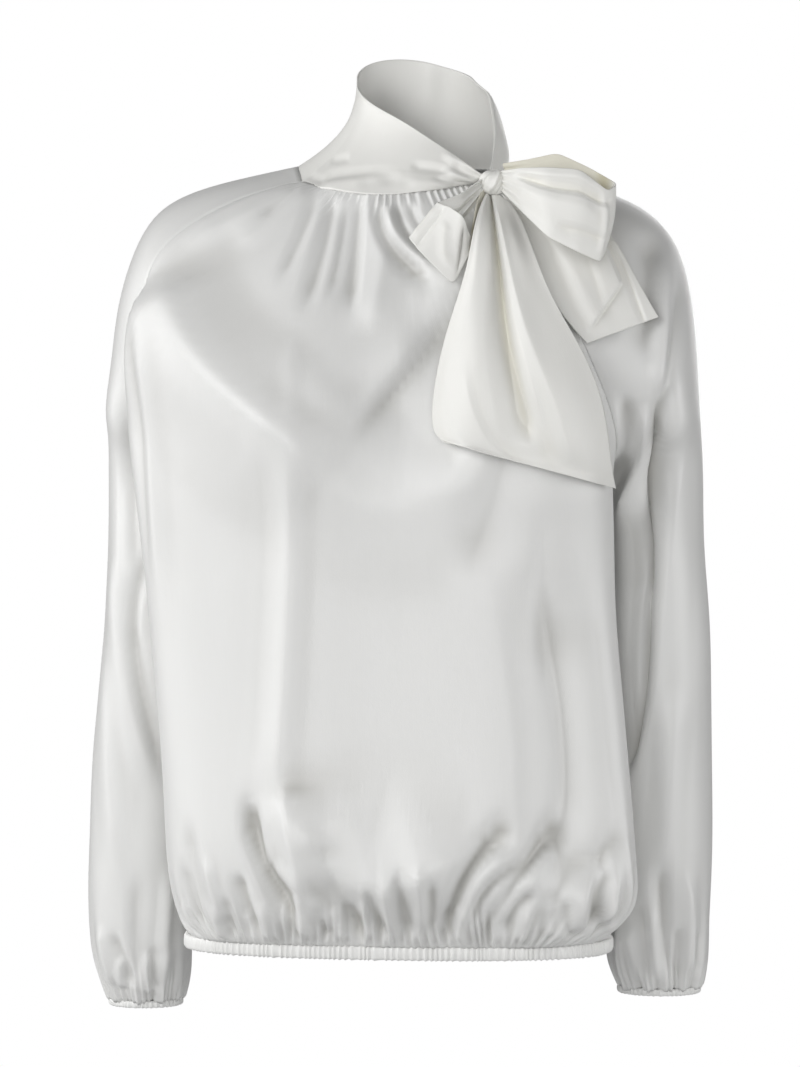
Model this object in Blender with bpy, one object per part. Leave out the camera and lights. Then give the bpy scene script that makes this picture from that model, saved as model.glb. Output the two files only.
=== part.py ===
"""A satin blouse with raglan sleeves and a scarf collar tied in a bow, filled out as worn.

Metres, +Z up, the front faces -Y and the wearer's left is +X. The origin is the middle of the
neck, level with the shoulders. Each piece is a wall of cloth on a smooth form that runs through
the named sections below; folds and gathers then move the wall along its own normal.
"""

import bmesh
import bpy
import numpy as np

CLOTH = 0.0012  # one layer of satin with the air in its weave
DOUBLE_CLOTH = 0.0020  # the collar and the tie are folded double
HALF_SEAM = 0.00016  # half of the gap between two pieces at their seam
SURFACE_CLEARANCE = 0.0012  # what lies on a panel stays this far off it

HEM_TOP, HEM_BOTTOM = -0.6180, -0.6292
HEM_SQUARENESS = 2.5  # 2 is an ellipse
HEM_HALF_WIDTH, HEM_MIDDLE_Y, HEM_FRONT, HEM_BACK = 0.175, -0.012, 0.089, 0.087
CUFF_HEIGHT = 0.0060
CASING_THICK = 0.0042
UNDERARM = (0.167, 0.006, -0.246)  # where both raglan seams and the side seam meet
UNDERARM_ROW = 8.0  # sections 0 to 8 run from the neck to the underarm
RAGLAN_PLACES = (0.0, 0.5, 1.1, 1.9, 2.8, 3.7, 4.5, 5.2, 5.9, 6.6, 7.2, 7.65)  # corners along the seam
LAST_ROW = 16.0  # section 16 is at the hem
CUFF_ROW = 17.0  # and section 17 is at the cuff
BODY_PLACES = (8.0, 8.7, 9.5, 10.4, 11.3, 12.2, 13.0, 13.7, 14.3)  # rows of corners below
SLEEVE_PLACES = (8.0, 8.6, 9.4, 10.3, 11.2, 12.1, 13.0, 13.8, 14.5, 15.2)
FRONT_COLUMNS, BACK_COLUMNS, SLEEVE_COLUMNS, COLLAR_COLUMNS = 36, 18, 16, 36

HEM_GATHERS = {"front": 48, "back": 32}
NECK_GATHERS = {"front": 26, "back": 14}
CUFF_GATHERS = 18
HEM_RIBS = 48
HEM_GATHER_DEPTH, NECK_GATHER_DEPTH, CUFF_GATHER_DEPTH = 0.0014, 0.0011, 0.0014

# A section of the front, one side: the seam, the front corner and the bust line.
# seam_x, seam_y, seam_z, corner_x, corner_y, corner_z, bust_x, bust_y, bust_z
FRONT_RIGHT_YOKE = (
    (0.078, -0.030, -0.006, 0.062, -0.0505, -0.011, 0.034, -0.0665, -0.017),
    (0.118, -0.045, -0.0175, 0.092, -0.062, -0.030, 0.050, -0.079, -0.043),
    (0.158, -0.056, -0.038, 0.124, -0.076, -0.058, 0.062, -0.093, -0.073),
    (0.186, -0.062, -0.062, 0.150, -0.086, -0.088, 0.071, -0.106, -0.107),
    (0.199, -0.063, -0.090, 0.174, -0.091, -0.118, 0.078, -0.118, -0.143),
    (0.201, -0.057, -0.130, 0.196, -0.088, -0.150, 0.083, -0.127, -0.178),
    (0.194, -0.043, -0.176, 0.203, -0.080, -0.192, 0.084, -0.131, -0.210),
    (0.181, -0.018, -0.220, 0.204, -0.076, -0.228, 0.084, -0.129, -0.240),
    (*UNDERARM, 0.202, -0.074, -0.262, 0.084, -0.125, -0.270),
)
FRONT_LEFT_YOKE = (
    (0.078, -0.030, -0.006, 0.062, -0.0505, -0.011, 0.034, -0.0665, -0.017),
    (0.102, -0.053, -0.032, 0.080, -0.067, -0.038, 0.046, -0.080, -0.044),
    (0.124, -0.071, -0.067, 0.098, -0.084, -0.072, 0.057, -0.095, -0.076),
    (0.141, -0.081, -0.102, 0.113, -0.097, -0.106, 0.067, -0.108, -0.110),
    (0.154, -0.085, -0.132, 0.126, -0.106, -0.137, 0.075, -0.119, -0.144),
    (0.166, -0.083, -0.160, 0.138, -0.111, -0.168, 0.081, -0.127, -0.176),
    (0.177, -0.072, -0.190, 0.151, -0.110, -0.200, 0.084, -0.131, -0.209),
    (0.181, -0.048, -0.222, 0.163, -0.100, -0.232, 0.084, -0.129, -0.240),
    (*UNDERARM, 0.170, -0.085, -0.264, 0.084, -0.125, -0.270),
)
# centre_y, centre_z of the front, one row for each section
FRONT_CENTRE = (
    (-0.072, -0.020), (-0.081, -0.046), (-0.090, -0.077), (-0.100, -0.112), (-0.110, -0.148),
    (-0.118, -0.182), (-0.122, -0.212), (-0.122, -0.242), (-0.121, -0.272),
)
# height, side_x, side_y, right_corner_x, left_corner_x, corner_y, bust_x, bust_y, centre_y
FRONT_BODY = (
    (-0.305, 0.161, 0.010, 0.1975, 0.173, -0.073, 0.085, -0.122, -0.120),
    (-0.355, 0.160, 0.010, 0.192, 0.175, -0.073, 0.086, -0.121, -0.119),
    (-0.410, 0.160, 0.010, 0.187, 0.180, -0.073, 0.087, -0.121, -0.120),
    (-0.465, 0.160, 0.010, 0.182, 0.1855, -0.074, 0.088, -0.123, -0.122),
    (-0.515, 0.160, 0.009, 0.179, 0.190, -0.075, 0.089, -0.126, -0.126),
    (-0.558, 0.161, 0.006, 0.1765, 0.1925, -0.074, 0.089, -0.126, -0.127),
    (-0.592, 0.165, 0.001, 0.169, 0.186, -0.068, 0.087, -0.116, -0.118),
)
# seam_x, seam_y, seam_z, side_x, side_y, side_z, blade_x, blade_y, blade_z, centre_y, centre_z
BACK_YOKE = (
    (0.070, 0.037, 0.009, 0.052, 0.050, 0.011, 0.028, 0.059, 0.012, 0.062, 0.012),
    (0.106, 0.052, -0.006, 0.078, 0.062, -0.009, 0.040, 0.070, -0.012, 0.072, -0.013),
    (0.138, 0.065, -0.030, 0.106, 0.075, -0.036, 0.054, 0.083, -0.042, 0.082, -0.044),
    (0.160, 0.075, -0.058, 0.124, 0.086, -0.066, 0.066, 0.094, -0.074, 0.090, -0.077),
    (0.174, 0.083, -0.090, 0.136, 0.094, -0.100, 0.076, 0.101, -0.108, 0.095, -0.112),
    (0.181, 0.085, -0.126, 0.144, 0.098, -0.136, 0.082, 0.103, -0.142, 0.096, -0.146),
    (0.183, 0.079, -0.166, 0.150, 0.098, -0.174, 0.084, 0.102, -0.180, 0.095, -0.182),
    (0.179, 0.052, -0.210, 0.154, 0.092, -0.216, 0.084, 0.099, -0.220, 0.092, -0.222),
    (*UNDERARM, 0.152, 0.080, -0.258, 0.084, 0.096, -0.262, 0.090, -0.264),
)
# corner_x, corner_y, blade_x, blade_y, centre_y, at the heights of FRONT_BODY
BACK_BODY = (
    (0.149, 0.072, 0.084, 0.092, 0.087),
    (0.147, 0.069, 0.084, 0.089, 0.085),
    (0.146, 0.069, 0.084, 0.089, 0.085),
    (0.146, 0.070, 0.085, 0.091, 0.087),
    (0.146, 0.071, 0.086, 0.094, 0.091),
    (0.146, 0.070, 0.086, 0.094, 0.092),
    (0.148, 0.060, 0.086, 0.086, 0.086),
)
# front_x, front_y, front_z, ridge_x, ridge_y, ridge_z, back_x, back_y, back_z
SLEEVE_RIGHT_CAP = (
    (0.083, -0.015, 0.005, 0.085, 0.000, 0.010, 0.080, 0.020, 0.010),
    (0.124, -0.024, -0.005, 0.128, 0.005, 0.002, 0.120, 0.032, 0.001),
    (0.165, -0.028, -0.017, 0.168, 0.010, -0.008, 0.158, 0.042, -0.013),
    (0.197, -0.032, -0.037, 0.2025, 0.016, -0.027, 0.188, 0.050, -0.036),
    (0.216, -0.034, -0.071, 0.2235, 0.020, -0.063, 0.206, 0.057, -0.072),
    (0.227, -0.033, -0.115, 0.2360, 0.024, -0.105, 0.218, 0.063, -0.114),
    (0.232, -0.030, -0.163, 0.2425, 0.027, -0.150, 0.225, 0.069, -0.160),
    (0.233, -0.024, -0.206, 0.2465, 0.029, -0.197, 0.227, 0.075, -0.206),
    (0.212, -0.012, -0.243, 0.2490, 0.031, -0.243, 0.209, 0.088, -0.244),
)
SLEEVE_LEFT_CAP = (
    (0.083, -0.015, 0.002, 0.085, 0.000, 0.007, 0.080, 0.020, 0.009),
    (0.118, -0.024, -0.014, 0.127, 0.005, -0.006, 0.120, 0.032, -0.004),
    (0.158, -0.035, -0.033, 0.170, 0.010, -0.015, 0.158, 0.042, -0.018),
    (0.190, -0.044, -0.060, 0.2065, 0.016, -0.034, 0.188, 0.050, -0.040),
    (0.210, -0.050, -0.092, 0.2275, 0.020, -0.064, 0.206, 0.057, -0.073),
    (0.224, -0.052, -0.130, 0.2370, 0.024, -0.105, 0.219, 0.063, -0.114),
    (0.230, -0.050, -0.170, 0.2410, 0.027, -0.150, 0.224, 0.069, -0.160),
    (0.231, -0.042, -0.212, 0.2435, 0.029, -0.197, 0.227, 0.075, -0.206),
    (0.208, -0.032, -0.246, 0.2455, 0.031, -0.243, 0.208, 0.088, -0.244),
)
# height, outer_x, inner_x, front_y, back_y of a sleeve below the underarm
SLEEVE_RIGHT_TUBE = (
    (-0.300, 0.2505, 0.173, -0.016, 0.090),
    (-0.360, 0.2535, 0.172, -0.015, 0.092),
    (-0.420, 0.2590, 0.172, -0.014, 0.094),
    (-0.480, 0.2652, 0.174, -0.012, 0.096),
    (-0.540, 0.2680, 0.177, -0.010, 0.098),
    (-0.590, 0.2695, 0.180, -0.008, 0.098),
    (-0.635, 0.2670, 0.1835, -0.003, 0.094),
    (-0.661, 0.2610, 0.1860, 0.006, 0.086),
    (-0.6815, 0.2535, 0.1915, 0.016, 0.077),
)
SLEEVE_LEFT_TUBE = (
    (-0.300, 0.2465, 0.171, -0.028, 0.088),
    (-0.360, 0.2505, 0.170, -0.022, 0.090),
    (-0.420, 0.2518, 0.169, -0.016, 0.093),
    (-0.480, 0.2522, 0.168, -0.010, 0.096),
    (-0.540, 0.2524, 0.167, -0.004, 0.098),
    (-0.590, 0.2510, 0.1655, 0.000, 0.100),
    (-0.628, 0.2495, 0.165, 0.006, 0.098),
    (-0.647, 0.2475, 0.1675, 0.012, 0.092),
    (-0.6640, 0.2430, 0.1745, 0.020, 0.084),
)
# turn in degrees from the front towards the wearer's left, then x, y, z of the collar's edge
COLLAR_EDGE = (
    (-180, 0.010, 0.055, 0.1030),
    (-140, -0.0270, 0.042, 0.1010),
    (-100, -0.0385, 0.012, 0.0840),
    (-68, -0.0300, -0.016, 0.0680),
    (-36, -0.0120, -0.036, 0.0530),
    (-8, 0.0100, -0.048, 0.0400),
    (20, 0.0400, -0.0550, 0.0200),
    (36, 0.0600, -0.0590, 0.0060),
    (50, 0.0788, -0.0598, -0.0064),
    (62, 0.0815, -0.0440, 0.0030),
    (78, 0.0805, -0.022, 0.0280),
    (100, 0.0730, 0.005, 0.0630),
    (142, 0.0460, 0.044, 0.0910),
)
COLLAR_FLARE, COLLAR_FLARE_SWING = 1.4, 0.95  # it flares more on the wearer's right
COLLAR_SWELL = 0.005  # and stands out more on the left, under the bow
# path across the cloth in x and z, seen from the front: start, middle and end; width and depth
# start_x, start_z, middle_x, middle_z, end_x, end_z, width, depth (a valley is below nought)
FRONT_FOLDS = (
    (-0.182, -0.090, -0.144, -0.176, -0.072, -0.212, 0.022, 0.0075),
    (-0.165, -0.078, -0.124, -0.150, -0.080, -0.188, 0.020, -0.0070),
    (-0.075, -0.216, -0.083, -0.375, -0.094, -0.547, 0.024, 0.0060),
    (-0.056, -0.222, 0.015, -0.276, 0.084, -0.240, 0.022, 0.0045),
    (-0.050, -0.255, 0.015, -0.325, 0.080, -0.290, 0.026, -0.0040),
    (0.058, -0.108, 0.014, -0.163, -0.014, -0.206, 0.020, -0.0050),
    (-0.023, -0.030, -0.023, -0.066, -0.024, -0.110, 0.012, -0.0035),
    (0.000, -0.035, 0.018, -0.066, 0.048, -0.092, 0.012, -0.0030),
    (-0.107, -0.490, -0.094, -0.557, -0.063, -0.592, 0.014, -0.0050),
    (-0.063, -0.500, -0.047, -0.556, -0.026, -0.608, 0.016, -0.0050),
    (0.000, -0.560, 0.016, -0.566, 0.040, -0.562, 0.020, -0.0050),
    (0.099, -0.520, 0.063, -0.570, 0.055, -0.606, 0.014, -0.0050),
    (0.134, -0.530, 0.099, -0.569, 0.083, -0.600, 0.014, -0.0045),
    (0.176, -0.530, 0.162, -0.560, 0.128, -0.598, 0.014, -0.0045),
    (0.129, -0.390, 0.129, -0.468, 0.127, -0.530, 0.018, -0.0045),
    (-0.192, -0.120, -0.180, -0.281, -0.176, -0.425, 0.018, 0.0030),
)
BACK_FOLDS = (
    (-0.090, -0.250, -0.080, -0.400, -0.100, -0.550, 0.026, 0.0050),
    (0.095, -0.240, 0.088, -0.390, 0.070, -0.560, 0.026, 0.0050),
    (0.000, -0.300, 0.010, -0.430, 0.000, -0.560, 0.028, 0.0045),
    (-0.050, -0.480, -0.040, -0.550, -0.055, -0.605, 0.018, -0.0045),
    (0.045, -0.480, 0.036, -0.550, 0.050, -0.605, 0.018, -0.0045),
)
SLEEVE_RIGHT_FOLDS = (
    (-0.236, -0.170, -0.232, -0.250, -0.226, -0.330, 0.016, -0.0045),
    (-0.219, -0.310, -0.228, -0.370, -0.212, -0.440, 0.016, -0.0050),
    (-0.252, -0.310, -0.246, -0.380, -0.232, -0.470, 0.014, 0.0035),
    (-0.196, -0.560, -0.206, -0.610, -0.204, -0.660, 0.012, 0.0040),
)
SLEEVE_LEFT_FOLDS = (
    (0.224, -0.121, 0.206, -0.265, 0.184, -0.441, 0.014, -0.0065),
    (0.214, -0.070, 0.216, -0.137, 0.206, -0.209, 0.014, 0.0045),
    (0.232, -0.140, 0.216, -0.270, 0.196, -0.420, 0.016, 0.0040),
    (0.224, -0.420, 0.220, -0.530, 0.206, -0.620, 0.016, 0.0035),
)
# The tie, in stations from the knot outwards; lift is how far it stands off what is under it.
# left_x, left_z, right_x, right_z, left_lift, right_lift
TIE_FRONT = (
    (0.0790, -0.0213, 0.0890, -0.0213, 0.0060, 0.0060),
    (0.0750, -0.0460, 0.1090, -0.0440, 0.0200, 0.0150),
    (0.0680, -0.0880, 0.1320, -0.0980, 0.0140, 0.0140),
    (0.0520, -0.1400, 0.1570, -0.1440, 0.0080, 0.0120),
    (0.0440, -0.1920, 0.1750, -0.1900, 0.0060, 0.0090),
    (0.0470, -0.2140, 0.1810, -0.2340, 0.0060, 0.0070),
    (0.0540, -0.2200, 0.1835, -0.2560, 0.0060, 0.0060),
)
TIE_BACK = (
    (0.0900, -0.0186, 0.0950, -0.0168, 0.0096, 0.0077),
    (0.1220, -0.0520, 0.1420, -0.0400, 0.0050, 0.0040),
    (0.1340, -0.0850, 0.1720, -0.0650, 0.0030, 0.0035),
    (0.1480, -0.1180, 0.1940, -0.0990, 0.0030, 0.0030),
    (0.1590, -0.1470, 0.2080, -0.1270, 0.0030, 0.0030),
)
# top_x, top_y, top_z, bottom_x, bottom_y, bottom_z of a loop, from the knot out and back to it
LOOP_LEFT = (
    (0.0908, -0.0715, -0.0070, 0.0908, -0.0715, -0.0160),
    (0.1090, -0.1020, -0.0055, 0.1180, -0.1080, -0.0480),
    (0.1350, -0.1160, -0.0145, 0.1440, -0.1180, -0.0680),
    (0.1650, -0.1130, -0.0215, 0.1640, -0.1120, -0.0780),
    (0.1840, -0.0980, -0.0180, 0.1700, -0.0980, -0.0790),
    (0.1740, -0.0850, -0.0120, 0.1560, -0.0900, -0.0680),
    (0.1360, -0.0830, 0.0080, 0.1330, -0.0880, -0.0480),
    (0.1120, -0.0760, 0.0030, 0.1100, -0.0820, -0.0260),
    (0.0925, -0.0610, -0.0060, 0.0925, -0.0625, -0.0130),
)
LOOP_RIGHT = (
    (0.0768, -0.0715, -0.0085, 0.0768, -0.0715, -0.0165),
    (0.0620, -0.0960, -0.0180, 0.0700, -0.1030, -0.0480),
    (0.0480, -0.1060, -0.0330, 0.0620, -0.1110, -0.0760),
    (0.0270, -0.1060, -0.0560, 0.0520, -0.1130, -0.0930),
    (0.0240, -0.0950, -0.0600, 0.0440, -0.1050, -0.0900),
    (0.0340, -0.0890, -0.0400, 0.0440, -0.0960, -0.0640),
    (0.0560, -0.0800, -0.0220, 0.0600, -0.0880, -0.0380),
    (0.0753, -0.0620, -0.0080, 0.0753, -0.0630, -0.0130),
)
KNOT_CENTRE = (0.0840, -0.0658, -0.0118)
KNOT_HALF_SIZE = (0.0072, 0.0085, 0.0092)
KNOT_PINCHES, KNOT_PINCH_DEPTH = 5, 0.0006


def unit(vectors):
    return vectors / np.maximum(np.linalg.norm(vectors, axis=-1, keepdims=True), 1e-12)


def spline(knots, values, at):
    """The natural cubic through values[k] at knots[k], read at the places given."""
    knots, values, at = np.asarray(knots, float), np.asarray(values, float), np.asarray(at, float)
    count, gap = len(knots), np.diff(knots)
    system, load = np.eye(count), np.zeros((count, values.shape[1]))
    for k in range(1, count - 1):
        system[k, k - 1 : k + 2] = gap[k - 1], 2 * (gap[k - 1] + gap[k]), gap[k]
        slopes = (values[k + 1] - values[k]) / gap[k] - (values[k] - values[k - 1]) / gap[k - 1]
        load[k] = 6 * slopes
    bend = np.linalg.solve(system, load)
    low = np.clip(np.searchsorted(knots, at, side="right") - 1, 0, count - 2)
    width = gap[low]
    before, after = (knots[low + 1] - at) / width, (at - knots[low]) / width
    weight = (width**2 / 6)[:, None]
    return (
        before[:, None] * values[low]
        + after[:, None] * values[low + 1]
        + weight * (before**3 - before)[:, None] * bend[low]
        + weight * (after**3 - after)[:, None] * bend[low + 1]
    )


class Form:
    """A smooth surface through a net of points; u runs across it and v down its sections."""

    def __init__(self, across, sections, net, folds, folds_face):
        self.across, self.sections, self.net = across, sections, np.asarray(net, float)
        self.folds, self.folds_face = folds, folds_face
        self.facing = 1.0
        middle, low = np.array([0.5]), np.array([sections[-1] * 0.7])
        centre = self.smooth(np.linspace(0, 1, 9), low).mean(axis=0)
        outwards = self.smooth(middle, low)[0] - centre
        self.facing = float(np.sign(self.normal(middle, low)[0] @ outwards))

    def smooth(self, u, v):
        u, v = np.broadcast_arrays(np.asarray(u, float), np.asarray(v, float))
        shape, u, v = u.shape, u.ravel(), v.ravel()
        rows, where = np.unique(v, return_inverse=True)
        flat = self.net.reshape(len(self.sections), -1)
        nets = spline(self.sections, flat, rows).reshape(len(rows), len(self.across), 3)
        # A seam turns at the underarm, so each edge is one curve above it and one below.
        turn = int(UNDERARM_ROW)
        for part, here in ((slice(0, turn + 1), rows <= turn), (slice(turn, None), rows > turn)):
            for edge in (0, -1):
                nets[here, edge] = spline(self.sections[part], self.net[part, edge], rows[here])
        points = np.empty((len(u), 3))
        for row in range(len(rows)):
            here = where == row
            points[here] = spline(self.across, nets[row], u[here])
        return points.reshape(*shape, 3)

    def slopes(self, u, v, step=0.004):
        """The unit directions along u and down v."""
        low_u, high_u = np.clip(u - step, *self.across[[0, -1]]), np.clip(u + step, *self.across[[0, -1]])
        low_v = np.clip(v - step * 8, self.sections[0], self.sections[-1])
        high_v = np.clip(v + step * 8, self.sections[0], self.sections[-1])
        along = self.smooth(high_u, v) - self.smooth(low_u, v)
        down = self.smooth(u, high_v) - self.smooth(u, low_v)
        return unit(along), unit(down)

    def normal(self, u, v):
        """The direction out of the cloth, away from the wearer."""
        along, down = self.slopes(u, v)
        return unit(np.cross(along, down)) * self.facing

    def folded(self, u, v):
        """The surface with its folds, which are on the side that faces along folds_face."""
        points, normals = self.smooth(u, v), self.normal(u, v)
        toward = np.clip(normals[..., 1] * self.folds_face * 1.6, 0, 1)
        moved = fold_heights(self.folds, points) * toward
        return points + normals * moved[..., None]


def fold_heights(folds, points):
    """How far the folds lift each point, by its distance from their paths seen from the front."""
    seen = points[..., [0, 2]]
    total = np.zeros(seen.shape[:-1])
    along = np.linspace(0, 1, 25)
    for start_x, start_z, middle_x, middle_z, end_x, end_z, width, depth in folds:
        path = spline(
            (0.0, 0.5, 1.0), ((start_x, start_z), (middle_x, middle_z), (end_x, end_z)), along
        )
        gap = np.linalg.norm(seen[..., None, :] - path, axis=-1)
        nearest = np.argmin(gap, axis=-1)
        fade = np.sin(np.pi * np.clip(along[nearest], 0.06, 0.94)) ** 0.6
        total += depth * fade * np.exp(-((gap.min(axis=-1) / width) ** 2) * 1.8)
    return total


def side_points(row, side):
    """The three named places of one section's side, with x turned to that side."""
    points = np.array(row, float).reshape(3, 3)
    points[:, 0] *= side
    return points


def hem_y(x, depth):
    part = np.abs(x / HEM_HALF_WIDTH) ** HEM_SQUARENESS
    return HEM_MIDDLE_Y + depth * np.maximum(1 - part, 0) ** (1 / HEM_SQUARENESS)


def front_net():
    """The front's net: right seam, corner and bust, the centre, then the left side's."""
    net = []
    for right, left, (centre_y, centre_z) in zip(FRONT_RIGHT_YOKE, FRONT_LEFT_YOKE, FRONT_CENTRE):
        centre = (0.0, centre_y, centre_z)
        net.append([*side_points(right, -1), centre, *side_points(left, 1)[::-1]])
    for height, side_x, side_y, right_x, left_x, corner_y, bust_x, bust_y, centre_y in FRONT_BODY:
        right = ((-side_x, side_y), (-right_x, corner_y), (-bust_x, bust_y))
        left = ((bust_x, bust_y), (left_x, corner_y), (side_x, side_y))
        net.append([(x, y, height) for x, y in (*right, (0.0, centre_y), *left)])
    net.append(hem_row(HEM_FRONT, -1))
    return net


def hem_row(depth, sign):
    """The seven places of a panel's last section, on the hem's oval."""
    at = HEM_HALF_WIDTH * np.array((-1, -0.86, -0.49, 0, 0.49, 0.86, 1))
    return [(x, hem_y(x, sign * depth), HEM_TOP) for x in at]


def back_net():
    """The back's net, from the wearer's left to the right, so that its normal is outwards."""
    net = []
    for row in BACK_YOKE:
        centre = (0.0, row[9], row[10])
        net.append([*side_points(row[:9], 1), centre, *side_points(row[:9], -1)[::-1]])
    for front, (corner_x, corner_y, blade_x, blade_y, centre_y) in zip(FRONT_BODY, BACK_BODY):
        height, side_x, side_y = front[:3]
        half = ((side_x, side_y), (corner_x, corner_y), (blade_x, blade_y))
        other = [(-x, y) for x, y in half[::-1]]
        net.append([(x, y, height) for x, y in (*half, (0.0, centre_y), *other)])
    net.append(hem_row(HEM_BACK, 1)[::-1])
    return net


def sleeve_net(side, front_yoke, cap, tube):
    """Nine places a section: front seam, over the shoulder to the back seam, or round the arm."""
    net, around = [], np.linspace(0, 1, 9)
    for front, middle, back in zip(front_yoke, cap, BACK_YOKE):
        named = np.vstack([front[:3], np.reshape(middle, (3, 3)), back[:3]])
        net.append(spline(np.linspace(0, 1, 5), named, around))
    for height, outer, inner, front_y, back_y in tube:
        turn = 2 * np.pi * around
        x = (outer + inner) / 2 - (outer - inner) / 2 * np.cos(turn)
        y = (front_y + back_y) / 2 - (back_y - front_y) / 2 * np.sin(turn)
        net.append(np.column_stack([x, y, np.full(9, height)]))
    net = np.array(net)
    net[..., 0] *= side
    return net[:, ::-1] if side < 0 else net


BODY_ACROSS = np.array((0.0, 0.17, 0.34, 0.5, 0.66, 0.83, 1.0))
BODY_SECTIONS = np.arange(LAST_ROW + 1)
SLEEVE_ACROSS = np.linspace(0, 1, 9)
SLEEVE_SECTIONS = np.arange(CUFF_ROW + 1)


FRONT = Form(BODY_ACROSS, BODY_SECTIONS, front_net(), FRONT_FOLDS, -1.0)
BACK = Form(BODY_ACROSS, BODY_SECTIONS, back_net(), BACK_FOLDS, 1.0)
SLEEVES = {
    -1: Form(
        SLEEVE_ACROSS, SLEEVE_SECTIONS,
        sleeve_net(-1, FRONT_RIGHT_YOKE, SLEEVE_RIGHT_CAP, SLEEVE_RIGHT_TUBE),
        SLEEVE_RIGHT_FOLDS, -1.0,
    ),
    1: Form(
        SLEEVE_ACROSS, SLEEVE_SECTIONS,
        sleeve_net(1, FRONT_LEFT_YOKE, SLEEVE_LEFT_CAP, SLEEVE_LEFT_TUBE),
        SLEEVE_LEFT_FOLDS, -1.0,
    ),
}


def neck_normal(points):
    """The direction shared by all that meets at the neck seam: out from the neck, and up."""
    out = np.column_stack([points[:, 0], points[:, 1] + 0.005, np.zeros(len(points))])
    return unit(unit(out) * 0.78 + np.array([0.0, 0.0, 0.62]))


def seam_frame(first, first_u, second, second_u, v):
    """The normal shared by two forms along their seam, and the way across the seam."""
    shared = first.normal(first_u, v) + second.normal(second_u, v)
    at_underarm = np.clip((v - (UNDERARM_ROW - 0.6)) / 0.6, 0, 1)[:, None]
    shared = unit(unit(shared) * (1 - at_underarm) + np.array([0.0, 0.0, -1.0]) * at_underarm)
    _, down = first.slopes(first_u, v)
    return shared, unit(np.cross(down, shared))


def half_seam(v):
    """Half of the gap at a raglan seam; the underarm's sharp turn has a little more."""
    return HALF_SEAM * (1 + 1.5 * np.clip(v - UNDERARM_ROW + 1.4, 0, 1))[:, None]


def sleeve_sides(side):
    """The sleeve's u at its front seam and at its back seam."""
    return (1.0, 0.0) if side < 0 else (0.0, 1.0)


def body_edges(form, other, v, low):
    """Where a body panel's edge goes, at u 0 or 1: the place and the normal of its wall there."""
    u = np.full(len(v), 0.0 if low else 1.0)
    side = (-1 if low else 1) * (1 if form is FRONT else -1)
    sleeve_u = sleeve_sides(side)[0 if form is FRONT else 1]
    points, normals = form.smooth(u, v), np.empty((len(v), 3))
    yoke = v <= UNDERARM_ROW
    shared, across = seam_frame(form, u[yoke], SLEEVES[side], np.full(yoke.sum(), sleeve_u), v[yoke])
    inward = form.smooth(np.full(yoke.sum(), 0.04 if low else 0.96), v[yoke]) - points[yoke]
    across *= np.sign(np.sum(across * inward, axis=1, keepdims=True))
    normals[yoke] = shared
    points[yoke] += across * half_seam(v[yoke])
    normals[~yoke] = unit(
        form.normal(u[~yoke], v[~yoke]) + other.normal(1 - u[~yoke], v[~yoke])
    )
    below = v >= UNDERARM_ROW
    points[below, 1] += HALF_SEAM * (-1 if form is FRONT else 1)
    return points, normals


def sleeve_edges(side, v, at_front):
    """The same for a sleeve's edge above the underarm."""
    sleeve, body = SLEEVES[side], FRONT if at_front else BACK
    u = np.full(len(v), sleeve_sides(side)[0 if at_front else 1])
    body_u = np.full(len(v), 1.0 if (side > 0) == at_front else 0.0)
    points = sleeve.smooth(u, v)
    shared, across = seam_frame(body, body_u, sleeve, u, v)
    inward = sleeve.smooth(np.clip(u, 0.04, 0.96), v) - points
    across *= np.sign(np.sum(across * inward, axis=1, keepdims=True))
    return points + across * half_seam(v), shared


def walls(name, rows, normals, thickness, wrapped, material):
    """A closed wall from rows of outer points. Rows may differ in count; wrapped rows are rings."""
    scene_mesh = bpy.data.meshes.new(name)
    shell = bmesh.new()
    outer, inner = [], []
    for points, out in zip(rows, normals):
        outer.append([shell.verts.new(p) for p in points])
        inner.append([shell.verts.new(p) for p in points - out * thickness])
    for sheet, turned in ((outer, False), (inner, True)):
        for k in range(len(sheet) - 1):
            upper = sheet[k] + sheet[k][:1] if wrapped[k] else sheet[k]
            lower = sheet[k + 1] + sheet[k + 1][:1] if wrapped[k + 1] else sheet[k + 1]
            for corners in zipped(upper, lower):
                shell.faces.new(corners[::-1] if turned else corners)
    pairs = dict(zip(sum(outer, []), sum(inner, [])))
    for edge in [e for e in shell.edges if len(e.link_faces) == 1 and e.verts[0] in pairs]:
        loop = edge.link_loops[0]
        first, second = loop.vert, loop.link_loop_next.vert
        shell.faces.new((second, first, pairs[first], pairs[second]))
    bmesh.ops.recalc_face_normals(shell, faces=shell.faces)
    shell.to_mesh(scene_mesh)
    shell.free()
    return placed(name, scene_mesh, material)


def zipped(upper, lower):
    """Faces between two rows of vertices that may differ in count."""
    if len(upper) == len(lower):
        for k in range(len(upper) - 1):
            yield (upper[k], upper[k + 1], lower[k + 1], lower[k])
        return
    top, bottom = np.linspace(0, 1, len(upper)), np.linspace(0, 1, len(lower))
    i = j = 0
    while i < len(upper) - 1 or j < len(lower) - 1:
        step_top = j == len(lower) - 1 or (i < len(upper) - 1 and top[i + 1] <= bottom[j + 1])
        if step_top:
            yield (upper[i], upper[i + 1], lower[j])
            i += 1
        else:
            yield (upper[i], lower[j + 1], lower[j])
            j += 1


def placed(name, mesh, material):
    piece = bpy.data.objects.new(name, mesh)
    piece.data.materials.append(cloth_material(material))
    bpy.context.collection.objects.link(piece)
    return piece


def cloth_material(name):
    found = bpy.data.materials.get(name)
    if found:
        return found
    made = bpy.data.materials.new(name)
    made.use_nodes = True
    shader = made.node_tree.nodes["Principled BSDF"]
    shader.inputs["Base Color"].default_value = SATIN_COLOURS[name]
    shader.inputs["Roughness"].default_value = 0.38
    return made


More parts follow.
